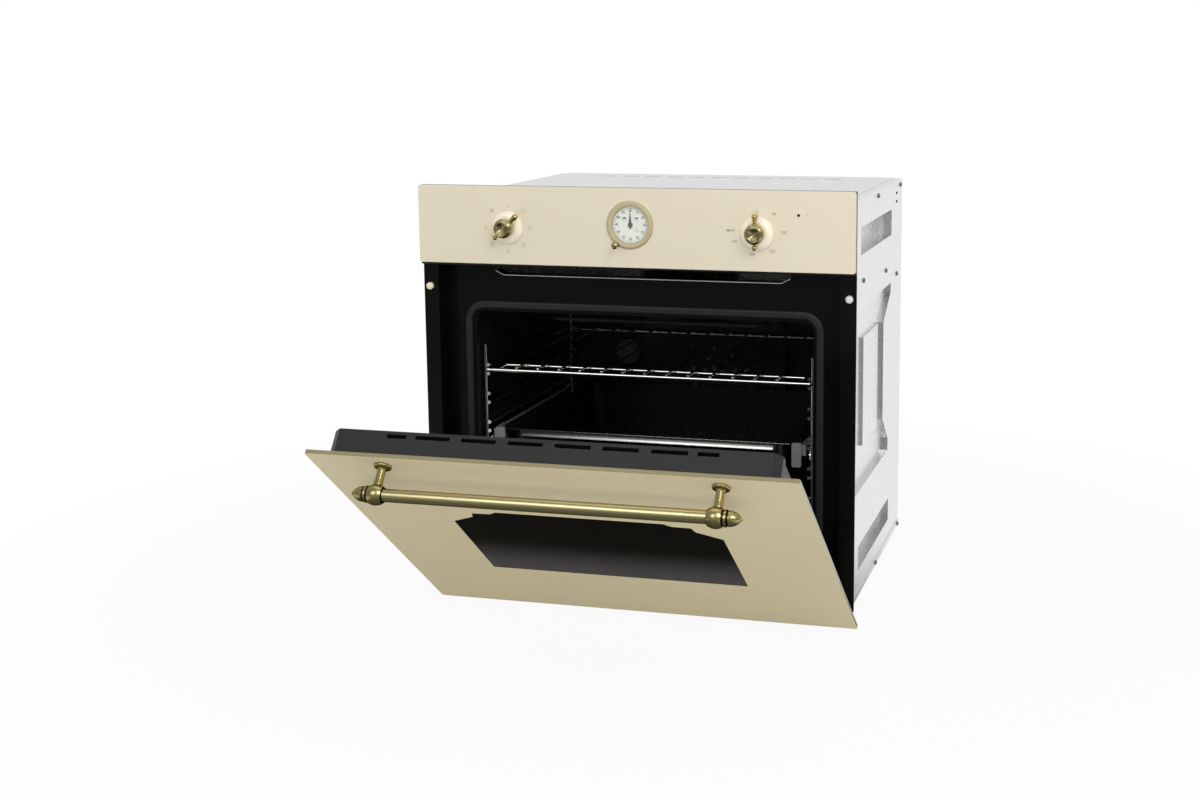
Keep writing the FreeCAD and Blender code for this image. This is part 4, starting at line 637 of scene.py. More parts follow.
# The clock's lens is clear plastic that shows as a gloss alone
LENS = ClearPane("clear_clock_lens", ("dfe4e0", "e8ece8"), patch_mm=20.0, rough=(0.02, 0.04), ior=1.46,
                 grain_mm=20.0, relief=0.005, opacity=0.08)
# The oven lamp's cover is ribbed, so it glints and blurs what is behind
LAMP_GLASS = ClearPane("ribbed_lamp_glass", ("171815", "262722"), patch_mm=12.0, rough=(0.06, 0.12), ior=1.47,
                       grain_mm=3.0, relief=0.2, opacity=0.55)
# Unlit, the pilot's lens is a dark amber bead
PILOT = Finish("dark_pilot_lens", ("141210", "241f1a"), patch_mm=3.0, rough=(0.1, 0.18))
# Screen-printed marks sit on the surface as a thin matt film
PANEL_INK = Finish("grey_panel_ink", ("8b8167", "968c71"), patch_mm=4.0, rough=(0.5, 0.65), grain_mm=0.3)
DIAL_INK = Finish("black_dial_ink", ("24261f", "363830"), patch_mm=3.0, rough=(0.5, 0.65), grain_mm=0.3)

# Grooves in the handle's ends: place from the middle and half width, in mm
HANDLE_GROOVES = ((194.6, 0.7), (213.3, 1.2), (218.5, 1.2))
# Depth in the side sheets at which the hand-holds are dull, and at which the zinc is bright
GRIP_DULL = 17.0 * MM
GRIP_BRIGHT = 10.0 * MM


def joint_place(name: str) -> Vector:
    """Gives a point on a joint's axis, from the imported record."""
    return Vector(next(joint["pos_m"] for joint in frame["joints"] if joint["name"] == name))


def turned_brass(joint: str) -> TurnedBrass:
    """Makes turned brass whose rings run round a joint's axis.

    Args:
        joint: Name of the joint.

    Returns:
        The finish.
    """
    place = joint_place(joint)
    return TurnedBrass("turned_brass_" + joint, ("a89d72", "bcb184"), patch_mm=8.0, rough=(0.12, 0.2),
                       metallic=1.0, relief=0.3, axis=(place.x, place.z))


def handle_brass() -> GroovedBrass:
    """Makes the satin brass of the handle's ends, with painted shade, nearly black, in its grooves.

    Returns:
        The finish.
    """
    low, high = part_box("handle_bar")
    middle = (low + high) / 2
    own = {"name": "cast_brass_painted_groove_shade", "rough": (0.24, 0.32), "rim_tint": OLIVE}
    return GroovedBrass(**(asdict(CAST_BRASS) | own), axis=(middle.y, middle.z), grooves=HANDLE_GROOVES)


def side_sheet() -> PressedZinc:
    """Makes the galvanised sheet of the sides, dull in their hand-holds.

    Returns:
        The finish.
    """
    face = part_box("case_side_right")[1].x
    own = {"name": "pressed_galvanised_sheet", "drawn": (face - GRIP_BRIGHT, face - GRIP_DULL)}
    return PressedZinc(**(asdict(GALVANISED) | own))


def dress(finish: Finish, *nodes: str) -> None:
    """Gives CAD nodes their finish.

    Args:
        finish: The finish.
        nodes: Names of the nodes.
    """
    for name in nodes:
        mesh = frame["nodes"][name].data
        mesh.materials.clear()
        mesh.materials.append(finish.material())
        log.info("dressed %s in %s", name, finish.name)


def placed(name: str, data: bpy.types.ID) -> bpy.types.Object:
    """Makes an object and puts it in the scene.

    Args:
        name: Its name.
        data: Its mesh, text, lamp or camera.

    Returns:
        The object.
    """
    made = bpy.data.objects.new(name, data)
    bpy.context.scene.collection.objects.link(made)
    return made


def adopt(name: str, mesh: Mesh, finish: Finish, body: str) -> None:
    """Makes a mesh a piece of the object.

    Args:
        name: Name of the piece.
        mesh: Its mesh, in place in the row frame.
        finish: Its finish.
        body: The body that it rides on.
    """
    mesh.name = name
    mesh.materials.clear()
    mesh.materials.append(finish.material())
    piece = placed(name, mesh)
    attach(piece, body)
    log.info("added %s on %s", name, body)


def baked(source: bpy.types.Object) -> Mesh:
    """Turns an object with its modifiers into a plain mesh, and removes the object.

    Args:
        source: A mesh or text object.

    Returns:
        The plain mesh.
    """
    graph = bpy.context.evaluated_depsgraph_get()
    mesh = bpy.data.meshes.new_from_object(source.evaluated_get(graph))
    bpy.data.objects.remove(source)
    return mesh


def clusters(points: Iterable[Vector], reach: float) -> list[Vector]:
    """Groups points that lie near each other.

    Args:
        points: The points.
        reach: Points closer than this to a group's first point join it.

    Returns:
        The mean of each group's points.
    """
    groups: list[list[Vector]] = []
    for point in points:
        near = next((group for group in groups if (group[0] - point).length < reach), None)
        if near:
            near.append(point)
        else:
            groups.append([point])
    return [sum(group, Vector()) / len(group) for group in groups]


def rounded(x: Point, z: Point, radius: float) -> list[Point]:
    """Gives the outline of a rectangle with round corners.

    Args:
        x: Its first and last place along X.
        z: Its first and last place along Z.
        radius: Radius of the corners.

    Returns:
        The outline's points as X and Z, anticlockwise.
    """
    left, right, low, high = x[0] + radius, x[1] - radius, z[0] + radius, z[1] - radius
    points = []
    for quarter, (u, v) in enumerate(((right, high), (left, high), (left, low), (right, low))):
        for step in range(Steps.CORNER + 1):
            angle = math.pi / 2 * (quarter + step / Steps.CORNER)
            points.append((u + radius * math.cos(angle), v + radius * math.sin(angle)))
    return points


def bridge(shape: Shape, first: Sequence[bmesh.types.BMVert], second: Sequence[bmesh.types.BMVert]) -> None:
    """Joins two closed loops that have as many points with a band of faces.

    Args:
        shape: Shape that holds the loops.
        first: Points of one loop.
        second: Points of the other.
    """
    for i, corner in enumerate(first):
        j = (i + 1) % len(first)
        shape.faces.new((corner, second[i], second[j], first[j]))


def closed(shape: Shape) -> Mesh:
    """Turns a shape to a plain mesh with its faces outwards, and frees it.

    Args:
        shape: The shape.

    Returns:
        The mesh.
    """
    bmesh.ops.recalc_face_normals(shape, faces=shape.faces)
    made = bpy.data.meshes.new("piece")
    shape.to_mesh(made)
    shape.free()
    return made


def drawn(profile: Sequence[Point], x: Point) -> Mesh:
    """Draws a closed profile out along X.

    Args:
        profile: Its corners as Y and Z.
        x: First and last place along X.

    Returns:
        The closed mesh.
    """
    shape = bmesh.new()
    ends = [[shape.verts.new((place, y, z)) for y, z in profile] for place in x]
    for end in ends:
        shape.faces.new(end)
    bridge(shape, *ends)
    return closed(shape)


def lathed(profile: Sequence[Point], middles: Sequence[Vector]) -> Mesh:
    """Turns a profile round an axis along Y, once at each middle.

    Args:
        profile: Radius and place along Y of each corner, between two ends on the axis.
        middles: Points on the axes.

    Returns:
        The closed mesh of all the copies.
    """
    shape = bmesh.new()
    turns = [math.tau * i / Steps.CAP for i in range(Steps.CAP)]
    for middle in middles:
        tips = [shape.verts.new(middle + Vector((0, y, 0))) for y in (profile[0][1], profile[-1][1])]
        rings = [[shape.verts.new(middle + Vector((r * math.cos(a), y, r * math.sin(a)))) for a in turns]
                 for r, y in profile[1:-1]]
        for tip, ring in zip(tips, (rings[0], rings[-1])):
            for corner, following in zip(ring, ring[1:] + ring[:1]):
                shape.faces.new((tip, corner, following))
        for first, second in zip(rings, rings[1:]):
            bridge(shape, first, second)
    return closed(shape)


def polar(middle: Vector, radius: float, degrees: float) -> Point:
    """Gives a place on a dial that faces the front, as X and Z, from its distance and clockwise angle."""
    angle = math.radians(degrees)
    return middle.x + radius * math.sin(angle), middle.z + radius * math.cos(angle)


@dataclass
class FlatArt:
    """Flat forms on a surface that faces the front, such as print, gathered into one mesh.

    Attributes:
        depth: The surface's place along Y.
        thickness: How far the forms stand proud.
        shape: What is gathered so far.
    """

    depth: float
    thickness: float = 0.06 * MM
    shape: Shape = field(default_factory=bmesh.new)

    def loop(self, points: Sequence[Point], proud: float) -> list[bmesh.types.BMVert]:
        """Gives the points of an outline, as X and Z, a place in the shape."""
        return [self.shape.verts.new((x, self.depth - proud, z)) for x, z in points]

    def outline(self, points: Sequence[Point]) -> None:
        """Adds a closed flat form.

        Args:
            points: Its corners as X and Z.
        """
        back, front = self.loop(points, 0.0), self.loop(points, self.thickness)
        self.shape.faces.new(back)
        self.shape.faces.new(list(reversed(front)))
        bridge(self.shape, back, front)

    def ring(self, outer: Sequence[Point], inner: Sequence[Point]) -> None:
        """Adds a closed ring between two outlines that have as many points.

        Args:
            outer: Points of the outer outline as X and Z.
            inner: Points of the inner outline.
        """
        sides = ((outer, 0.0), (outer, self.thickness), (inner, self.thickness), (inner, 0.0))
        loops = [self.loop(points, proud) for points, proud in sides]
        for first, second in zip(loops, loops[1:] + loops[:1]):
            bridge(self.shape, first, second)

    def bar(self, middle: Point, size: Point, turn: float = 0.0) -> None:
        """Adds a straight stroke.

        Args:
            middle: Its middle as X and Z.
            size: Its width and height before it is turned.
            turn: Clockwise turn in degrees.
        """
        cos, sin = math.cos(math.radians(turn)), math.sin(math.radians(turn))
        halves = (size[0] / 2, size[1] / 2)
        corners = [(u * halves[0], v * halves[1]) for u, v in ((-1, -1), (1, -1), (1, 1), (-1, 1))]
        self.outline([(middle[0] + u * cos + v * sin, middle[1] - u * sin + v * cos) for u, v in corners])

    def disc(self, middle: Point, radius: float, span: float, steps: Steps) -> None:
        """Adds a filled disc or a sector of one.

        Args:
            middle: Its middle as X and Z.
            radius: Its radius.
            span: Its angle, anticlockwise from +X.
            steps: Number of straight pieces.
        """
        whole = span == math.tau
        angles = [span * i / steps for i in range(steps if whole else steps + 1)]
        self.outline([(middle[0] + radius * math.cos(a), middle[1] + radius * math.sin(a)) for a in angles])

    def hoop(self, middle: Point, radii: Point, steps: Steps = Steps.HOOP) -> None:
        """Adds a round ring.

        Args:
            middle: Its middle as X and Z.
            radii: Inner and outer radius.
            steps: Number of straight pieces.
        """
        angles = [math.tau * i / steps for i in range(steps)]
        core, rim = [[(middle[0] + radius * math.cos(a), middle[1] + radius * math.sin(a)) for a in angles]
                     for radius in radii]
        self.ring(rim, core)

    def words(self, text: str, middle: Point, size: float, bold: float) -> None:
        """Adds numbers or a short word.

        Args:
            text: What it says.
            middle: Its middle as X and Z.
            size: Height of the letters' line.
            bold: How much each stroke is thickened.
        """
        curve = bpy.data.curves.new("words", "FONT")
        curve.body = text
        curve.size = size
        curve.align_x = "CENTER"
        curve.align_y = "CENTER"
        curve.extrude = self.thickness / 2
        curve.offset = bold
        curve.resolution_u = 3
        mesh = baked(placed("words", curve))
        upright = Matrix.Rotation(math.pi / 2, 4, "X")
        mesh.transform(Matrix.Translation((middle[0], self.depth - self.thickness / 2, middle[1])) @ upright)
        self.shape.from_mesh(mesh)
        bpy.data.meshes.remove(mesh)

    def mesh(self) -> Mesh:
        """Gives what was gathered as a plain mesh with its faces outwards."""
        return closed(self.shape)


@dataclass
class Repeat:
    """A Geometry Nodes tree that sets one small shape on every point of a mesh.

    Attributes:
        name: Name of the tree.
        finish: Finish of the copies.
        lobes: Points of a star.
        waist: Inner radius of a star, as a share of its outer radius.
        ball_mesh: Segments and rings of a ball.
    """

    name: str
    finish: Finish
    lobes: int = 6
    waist: float = 0.62
    ball_mesh: tuple[int, int] = (16, 10)

    def group(self, **sizes: str) -> Tree:
        """Starts the tree, with its points, its material and its sizes as named inputs.

        Args:
            sizes: Socket type of each size.

        Returns:
            The tree.
        """
        tree = bpy.data.node_groups.new(self.name, "GeometryNodeTree")
        tree.interface.new_socket("Geometry", in_out="OUTPUT", socket_type="NodeSocketGeometry")
        for name, kind in {"Geometry": "Geometry", "Material": "Material", **sizes}.items():
            tree.interface.new_socket(name, in_out="INPUT", socket_type="NodeSocket" + kind)
        return tree

    def run(self, tree: Tree, shape: Socket, places: Sequence[Vector], **sizes: object) -> Mesh:
        """Ends the tree, with the shape on every point, made real and given its material, and runs it.

        Args:
            tree: The tree.
            shape: The shape.
            places: Where the copies go.
            sizes: Value of each size.

        Returns:
            The plain mesh of all the copies.
        """
        given = add(tree, "NodeGroupInput").outputs
        copies = add(tree, "GeometryNodeInstanceOnPoints", {"Points": given["Geometry"], "Instance": shape})
        real = add(tree, "GeometryNodeRealizeInstances", {"Geometry": copies.outputs[0]}).outputs[0]
        done = add(tree, "GeometryNodeSetMaterial", {"Geometry": real, "Material": given["Material"]})
        add(tree, "NodeGroupOutput", {0: done.outputs[0]})
        mesh = bpy.data.meshes.new(self.name)
        mesh.from_pydata([tuple(place) for place in places], [], [])
        carrier = placed(self.name, mesh)
        modifier = carrier.modifiers.new(self.name, "NODES")
        modifier.node_group = tree
        values = {"Material": self.finish.material(), **sizes}
        for item in tree.interface.items_tree:
            if item.item_type == "SOCKET" and item.name in values:
                modifier[item.identifier] = values[item.name]
        return baked(carrier)

    def stars(self, places: Sequence[Vector], radius: float, depth: float) -> Mesh:
        """Sets a lobed recess on each place, with its axis along X.

        Args:
            places: Middles of the recesses.
            radius: Outer radius of the star.
            depth: How thick the dark inlay is.

        Returns:
            The plain mesh of all the recesses.
        """
        tree = self.group(Radius="Float", Depth="Float")
        given = add(tree, "NodeGroupInput").outputs
        inner = add(tree, "ShaderNodeMath", {0: given["Radius"], 1: self.waist}, operation="MULTIPLY")
        star = add(tree, "GeometryNodeCurveStar", {"Points": self.lobes, "Inner Radius": inner.outputs[0],
                                                   "Outer Radius": given["Radius"]})
        plate = add(tree, "GeometryNodeFillCurve", {"Curve": star.outputs[0]})
        slab = add(tree, "GeometryNodeExtrudeMesh", {"Mesh": plate.outputs[0], "Offset Scale": given["Depth"]})
        turned = add(tree, "GeometryNodeTransform", {"Geometry": slab.outputs[0],
                                                     "Rotation": Facing.SIDE.value})
        return self.run(tree, turned.outputs[0], places, Radius=radius, Depth=depth)

    def balls(self, places: Sequence[Vector], radius: float) -> Mesh:
        """Sets a small ball on each place, sunk to its middle in the end of a wire.

        Args:
            places: Middles of the balls.
            radius: Their radius.

        Returns:
            The plain mesh of all the balls.
        """
        tree = self.group(Radius="Float")
        given = add(tree, "NodeGroupInput").outputs
        segments, rings = self.ball_mesh
        ball = add(tree, "GeometryNodeMeshUVSphere", {"Segments": segments, "Rings": rings,
                                                      "Radius": given["Radius"]})
        return self.run(tree, ball.outputs[0], places, Radius=radius)

    def rings(self, middles: Sequence[Vector], facing: Facing, count: int, radius: float, size: Triple) -> Mesh:
        """Sets small bars round a ring, each along its radius, at every middle.

        Args:
            middles: Middles of the rings.
            facing: Where their axes point.
            count: Number of bars in a ring.
            radius: Radius of their middles.
            size: Length along the radius, width round the ring and height along the axis.

        Returns:
            The plain mesh of all the bars.
        """
        tree = self.group(Count="Int", Radius="Float", Size="Vector")
        given = add(tree, "NodeGroupInput").outputs
        circle = add(tree, "GeometryNodeMeshCircle", {"Vertices": given["Count"], "Radius": given["Radius"]})
        place = add(tree, "GeometryNodeInputPosition")
        out = add(tree, "FunctionNodeAlignRotationToVector", {"Vector": place.outputs[0]}, axis="X")
        bar = add(tree, "GeometryNodeMeshCube", {"Size": given["Size"]})
        bars = add(tree, "GeometryNodeInstanceOnPoints",
                   {"Points": circle.outputs[0], "Instance": bar.outputs[0], "Rotation": out.outputs[0]})
        turned = add(tree, "GeometryNodeTransform", {"Geometry": bars.outputs[0], "Rotation": facing.value})
        return self.run(tree, turned.outputs[0], middles, Count=count, Radius=radius, Size=list(size))


@dataclass
class Casing:
    """Galvanised casing with its screws, blower and terminal box.

    Attributes:
        recess_r: Outer radius of the star in a screw head.
        recess_t: Thickness of its dark inlay, painted shade for the recess.
        head_reach: Points of one screw head lie closer than this.
        face_reach: Points of the heads' faces lie within this of the outermost one.
    """

    recess_r: float = 2.0 * MM
    recess_t: float = 0.12 * MM
    head_reach: float = 8.0 * MM
    face_reach: float = 0.5 * MM

    def dress(self) -> None:
        """Gives the casing's nodes their finishes."""
        dress(GALVANISED, "case_top", "case_base", "case_back", "blower_housing")
        dress(side_sheet(), "case_side_left", "case_side_right")
        dress(PLASTIC, "panel_bracket", "terminal_box", "blower_rotor")
        dress(ZINC, "case_screws")
        dress(WOOL, "insulation")
        dress(STEEL, "blower_motor")
        # The outlet's front edge carries a painted highlight
        dress(OUTLET_EDGE_HIGHLIGHT, "air_deflector")

    def build(self) -> None:
        """Adds a flat dark star to each screw head, painted shade for its recess."""
        points = [vertex.co.copy() for vertex in frame["nodes"]["case_screws"].data.vertices]
        low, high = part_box("case_screws")
        for side, face, start in ((Side.LEFT, low.x, low.x), (Side.RIGHT, high.x, high.x - self.recess_t)):
            heads = clusters([p for p in points if abs(p.x - face) < self.face_reach], self.head_reach)
            places = [Vector((start, head.y, head.z)) for head in heads]
            name = side.name.lower()
            mesh = Repeat("screw_recess_" + name, RECESS_SHADE).stars(places, self.recess_r, self.recess_t)
            adopt("screw_recess_shades_" + name, mesh, RECESS_SHADE, "oven")


@dataclass
class Cavity:
    """Black cavity behind the front frame, with its racks, shelf, tray, heaters and fan.

    Attributes:
        knurl_count: Ridges round the head of a rack screw.
        knurl_r: Radius of the head.
        knurl_set: From the head's inner end to the middle of its ridged band.
        knurl: Length, width and height of a ridge.
        screw_reach: Points of one rack screw's end lie closer than this.
        end_reach: Points of the screws' ends lie within this of the innermost one.
        lip_run: How far the tray's lip reaches forward and down from the rim.
        strip_x: Half length of the bright strip on the lip, a painted highlight.
        strip_from: Share of the lip above the strip.
        strip_edge: Height of the strip's edges above the lip.
        strip_crown: How much higher its middle is.
        strip_sunk: How deep its rear lies in the lip.
        bead: Section of the bright bead along the rim, a painted highlight, as Y and Z from the rim's edge, in
            mm.
        bead_x: Its half length.
        wire_count: Number of the shelf's long wires.
        wire_inset: From the end of the shelf's rail to the first wire.
        wire_r: Radius of a wire.
        wire_end_r: Radius of its round end, a hair less.
        hole_shade: Profile of the black caps that paint the shade in the cabinet screw holes, as radius and
            depth, in mm.
        hole_shade_at: Place of the right cap, on the flange.
    """

    knurl_count: int = 26
    knurl_r: float = 6.0 * MM
    knurl_set: float = 3.0 * MM
    knurl: Triple = (0.7 * MM, 0.7 * MM, 2.7 * MM)
    screw_reach: float = 12.0 * MM
    end_reach: float = 0.1 * MM
    lip_run: Point = (4.8 * MM, 8.0 * MM)
    strip_x: float = 178.0 * MM
    strip_from: float = 0.38
    strip_edge: float = 0.1 * MM
    strip_crown: float = 0.5 * MM
    strip_sunk: float = 0.2 * MM
    bead: tuple[Point, ...] = ((0.6, 0.25), (-0.35, 0.25), (-0.5, 0.0), (-0.35, -0.5), (0.6, -0.5))
    bead_x: float = 200.0 * MM
    wire_count: int = 13
    wire_inset: float = 44.5 * MM
    wire_r: float = 1.75 * MM
    wire_end_r: float = 1.7 * MM
    hole_shade: tuple[Point, ...] = ((0.0, -0.3), (1.7, -0.3), (2.3, -0.9), (3.5, -0.8), (4.0, -0.3), (4.0, 0.1),
                               (2.7, 0.1), (2.6, 1.7), (0.0, 1.7))
    hole_shade_at: Triple = (288.25 * MM, -259.2 * MM, 120.0 * MM)

    def dress(self) -> None:
        """Gives the cavity's nodes their finishes."""
        dress(ENAMEL, "front_frame")
        dress(CAVITY, "cavity_liner", "fan_baffle")
        dress(RUBBER, "door_gasket")
        dress(BUMPER, "door_bumpers")
        dress(CHROME, "rack_left", "rack_right", "wire_shelf", "rack_screws")
        dress(TRAY, "baking_tray")
        dress(RUNNER, "runner_rails", "runner_slides", "hinge_arms", "hinge_pins", "hinge_tongues")
        dress(HEATER, "grill_element", "bottom_element", "ring_element")
        dress(STEEL, "convection_fan", "fan_shaft", "fan_motor", "thermostat_sensor")
        dress(LAMP_GLASS, "lamp_lens")
        dress(CERAMIC, "lamp_holder")

    def build(self) -> None:
        """Adds the screw heads' ridges, the wires' ends, the painted highlights on the tray's lip and the painted
        shade in the flange's screw holes.
        """
        self.build_knurls()
        self.build_wire_ends()
        self.build_lip()
        self.build_hole_shades()

    def build_knurls(self) -> None:
        """Sets the ridges round the head of each rack screw."""
        points = [vertex.co.copy() for vertex in frame["nodes"]["rack_screws"].data.vertices]
        inner = min(abs(point.x) for point in points)
        ends = clusters([p for p in points if abs(p.x) - inner < self.end_reach], self.screw_reach)
        middles = [end + Vector((math.copysign(self.knurl_set, end.x), 0, 0)) for end in ends]
        ridges = Repeat("knurl", CHROME).rings(middles, Facing.SIDE, self.knurl_count, self.knurl_r, self.knurl)
        adopt("rack_screw_knurls", ridges, CHROME, "oven")

    def build_wire_ends(self) -> None:
        """Rounds the front ends of the shelf's wires."""
        low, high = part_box("wire_shelf")
        first, last = low.x + self.wire_inset, high.x - self.wire_inset
        ends = [Vector((first + (last - first) * i / (self.wire_count - 1), low.y, high.z - self.wire_r))
                for i in range(self.wire_count)]
        balls = Repeat("wire_end", CHROME).balls(ends, self.wire_end_r)
        adopt("shelf_wire_ends", balls, CHROME, "shelf")

    def build_lip(self) -> None:
        """Lays a metal strip with a painted reflection on the tray's slanting front lip, and a thin bead along
        its rim as a painted highlight.
        """
        low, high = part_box("baking_tray")
        forward, down = self.lip_run
        rim = Vector((low.y + forward, high.z))
        slant = Vector((-forward, -down)).normalized()
        out = Vector((slant.y, -slant.x))
        reach = math.hypot(forward, down)
        first = self.strip_from * reach
        parts = [i / Steps.BULGE for i in range(Steps.BULGE + 1)]
        spots = [(first + (reach - first) * part, self.strip_edge + self.strip_crown * math.sin(math.pi * part))
                 for part in parts]
        spots += [(reach, -self.strip_sunk), (first, -self.strip_sunk)]
        strip = [tuple(rim + slant * along + out * proud) for along, proud in spots]
        adopt("tray_front_lip", drawn(strip, (-self.strip_x, self.strip_x)), TRAY_LIP_HIGHLIGHT, "tray")
        bead = [(rim.x + y * MM, rim.y + z * MM) for y, z in self.bead]
        adopt("tray_rim_bead", drawn(bead, (-self.bead_x, self.bead_x)), TRAY_LIP_HIGHLIGHT, "tray")

    def build_hole_shades(self) -> None:
        """Puts a black cap in each cabinet screw hole of the flange, as painted shade that makes the hole look
        dark.
        """
        places = [Vector((side.value * self.hole_shade_at[0], *self.hole_shade_at[1:])) for side in Side]
        profile = [(r * MM, y * MM) for r, y in self.hole_shade]
        adopt("flange_hole_shades", lathed(profile, places), CAP, "oven")


@dataclass
class ClockDial:
    """Print on the clock's white card.

    Attributes:
        ink_t: Thickness of the print.
        ring: Inner and outer radius of the minute ring.
        number_r: Distance of the numbers from the middle.
        number_size: Their height.
        number_bold: How much they are thickened.
        dot: Distance and radius of the five-minute dots.
        sign_r: Distance of the small round signs.
        bells: Clockwise angles of the two signs that are half filled, in degrees.
        bell: Inner and outer radius of their rings.
        bell_fill: Radius of the filled half, and its height above the ring's middle.
        hoop_angle: Clockwise angle of the open sign, in degrees.
        hoop: Its inner and outer radius.
        tick_r: Distance of the minute marks.
        tick: Length and width of a minute mark.
    """

    ink_t: float = 0.03 * MM
    ring: Point = (21.2 * MM, 21.5 * MM)
    number_r: float = 18.6 * MM
    number_size: float = 4.3 * MM
    number_bold: float = 0.12 * MM
    dot: Point = (21.3 * MM, 0.65 * MM)
    sign_r: float = 11.2 * MM
    bells: Point = (-48.0, 48.0)
    bell: Point = (2.3 * MM, 2.7 * MM)
    bell_fill: Point = (2.2 * MM, 0.3 * MM)
    hoop_angle: float = 128.0
    hoop: Point = (2.0 * MM, 2.4 * MM)
    tick_r: float = 20.7 * MM
    tick: Point = (0.9 * MM, 0.16 * MM)

    def build(self) -> None:
        """Prints the dial's numbers, minute ring and signs."""
        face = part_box("clock_dial")[0].y
        middle = joint_place("minute_turn")
        art = FlatArt(face, self.ink_t)
        art.hoop((middle.x, middle.z), self.ring, Steps.RING)
        for hour in range(1, 13):
            angle = hour * 30.0
            art.words(str(hour * 5), polar(middle, self.number_r, angle), self.number_size, self.number_bold)
            art.disc(polar(middle, self.dot[0], angle), self.dot[1], math.tau, Steps.DOT)
        for angle in self.bells:
            x, z = polar(middle, self.sign_r, angle)
            art.hoop((x, z), self.bell)
            art.disc((x, z + self.bell_fill[1]), self.bell_fill[0], math.pi, Steps.BELL)
        art.hoop(polar(middle, self.sign_r, self.hoop_angle), self.hoop)
        adopt("dial_print", art.mesh(), DIAL_INK, "oven")
        centre = Vector((middle.x, face - self.ink_t / 2, middle.z))
        ticks = Repeat("minute_marks", DIAL_INK).rings([centre], Facing.FRONT, 60, self.tick_r,
                                                       (*self.tick, self.ink_t))
        adopt("minute_marks", ticks, DIAL_INK, "oven")


@dataclass
class PanelPrint:
    """Numbers and signs printed on the panel's glass.

    Attributes:
        art: The print.
        mark_size: Height of the numbers.
        bold: How much they are thickened.
        zero: Distance from the spindle, width and height of the line above each knob.
        tick: Distance, width and height of the small lines of the heat scale.
        heat_marks: Text, clockwise angle in degrees and distance in mm of each mark of the heat scale.
        positions: Number of the function knob's positions.
        sign_r: Distance of the signs from its spindle.
        sign_half: Half width of a sign's square.
        sign_line: Width of its lines.
        heater: Place and length of a heater's line, as shares of the half width.
        fan: Inner and outer radius of a fan's ring.
        pilot_at: Place of the heat sign from the pilot light, along X and Z.
        pilot_lines: Number of its lines.
        pilot_pitch: From line to line.
        pilot_line: Width and height of a line.
        pilot_lean: How far a line leans, in degrees.
    """

    art: FlatArt
    mark_size: float = 5.2 * MM
    bold: float = 0.06 * MM
    zero: Triple = (28.5 * MM, 0.65 * MM, 3.6 * MM)
    tick: Triple = (24.0 * MM, 0.455 * MM, 1.2 * MM)
    heat_marks: tuple[tuple[str, float, float], ...] = (
        ("50", 41.0, 33.5), ("100", 87.0, 34.5), ("150", 139.0, 30.0), ("200", 193.0, 27.5),
        ("250", 250.0, 32.5), ("MAX", 275.0, 35.0))
    positions: int = 8
    sign_r: float = 31.5 * MM
    sign_half: float = 2.2 * MM
    sign_line: float = 0.34 * MM
    heater: Point = (0.62, 1.3)
    fan: Point = (0.5 * MM, 0.85 * MM)
    pilot_at: Point = (5.0 * MM, 1.2 * MM)
    pilot_lines: int = 3
    pilot_pitch: float = 1.5 * MM
    pilot_line: Point = (0.35 * MM, 2.6 * MM)
    pilot_lean: float = 20.0

    def build(self) -> None:
        """Prints round both knobs and beside the pilot light."""
        self.heat_scale()
        self.functions()
        self.pilot()
        adopt("panel_print", self.art.mesh(), PANEL_INK, "oven")

    def line(self, middle: Vector, size: Triple, degrees: float = 0.0) -> None:
        """Prints a line that points at a spindle, given its distance from it, its width and its height."""
        self.art.bar(polar(middle, size[0], degrees), size[1:], degrees)

    def heat_scale(self) -> None:
        """Prints the temperatures round the thermostat."""
        middle = joint_place("thermostat_turn")
        self.line(middle, self.zero)
        for text, degrees, radius in self.heat_marks:
            self.art.words(text, polar(middle, radius * MM, degrees), self.mark_size, self.bold)
            self.line(middle, self.tick, degrees)

    def functions(self) -> None:
        """Prints plain square signs round the function knob."""
        middle = joint_place("function_turn")
        self.line(middle, self.zero)
        for step in range(1, self.positions):
            self.sign(polar(middle, self.sign_r, 360.0 * step / self.positions), Heat(step))

    def sign(self, middle: Point, heat: Heat) -> None:
        """Prints one sign: a square with a line for each heater and a ring for the fan.

        Args:
            middle: Its middle as X and Z.
            heat: What works at this position.
        """
        half, line = self.sign_half, self.sign_line
        x, z = middle
        for way in (-1, 1):
            self.art.bar((x + way * half, z), (line, 2 * half))
            self.art.bar((x, z + way * half), (2 * half, line))
        for heater, way in ((Heat.TOP, 1), (Heat.BOTTOM, -1)):
            if heater in heat:
                self.art.bar((x, z + way * half * self.heater[0]), (half * self.heater[1], line))
        if Heat.FAN in heat:
            self.art.hoop(middle, self.fan, Steps.FAN)

    def pilot(self) -> None:
        """Prints a small heat sign beside the pilot light."""
        low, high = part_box("indicator_lens")
        x, z = high.x + self.pilot_at[0], (low.z + high.z) / 2 + self.pilot_at[1]
        for step in range(self.pilot_lines):
            self.art.bar((x + step * self.pilot_pitch, z), self.pilot_line, self.pilot_lean)


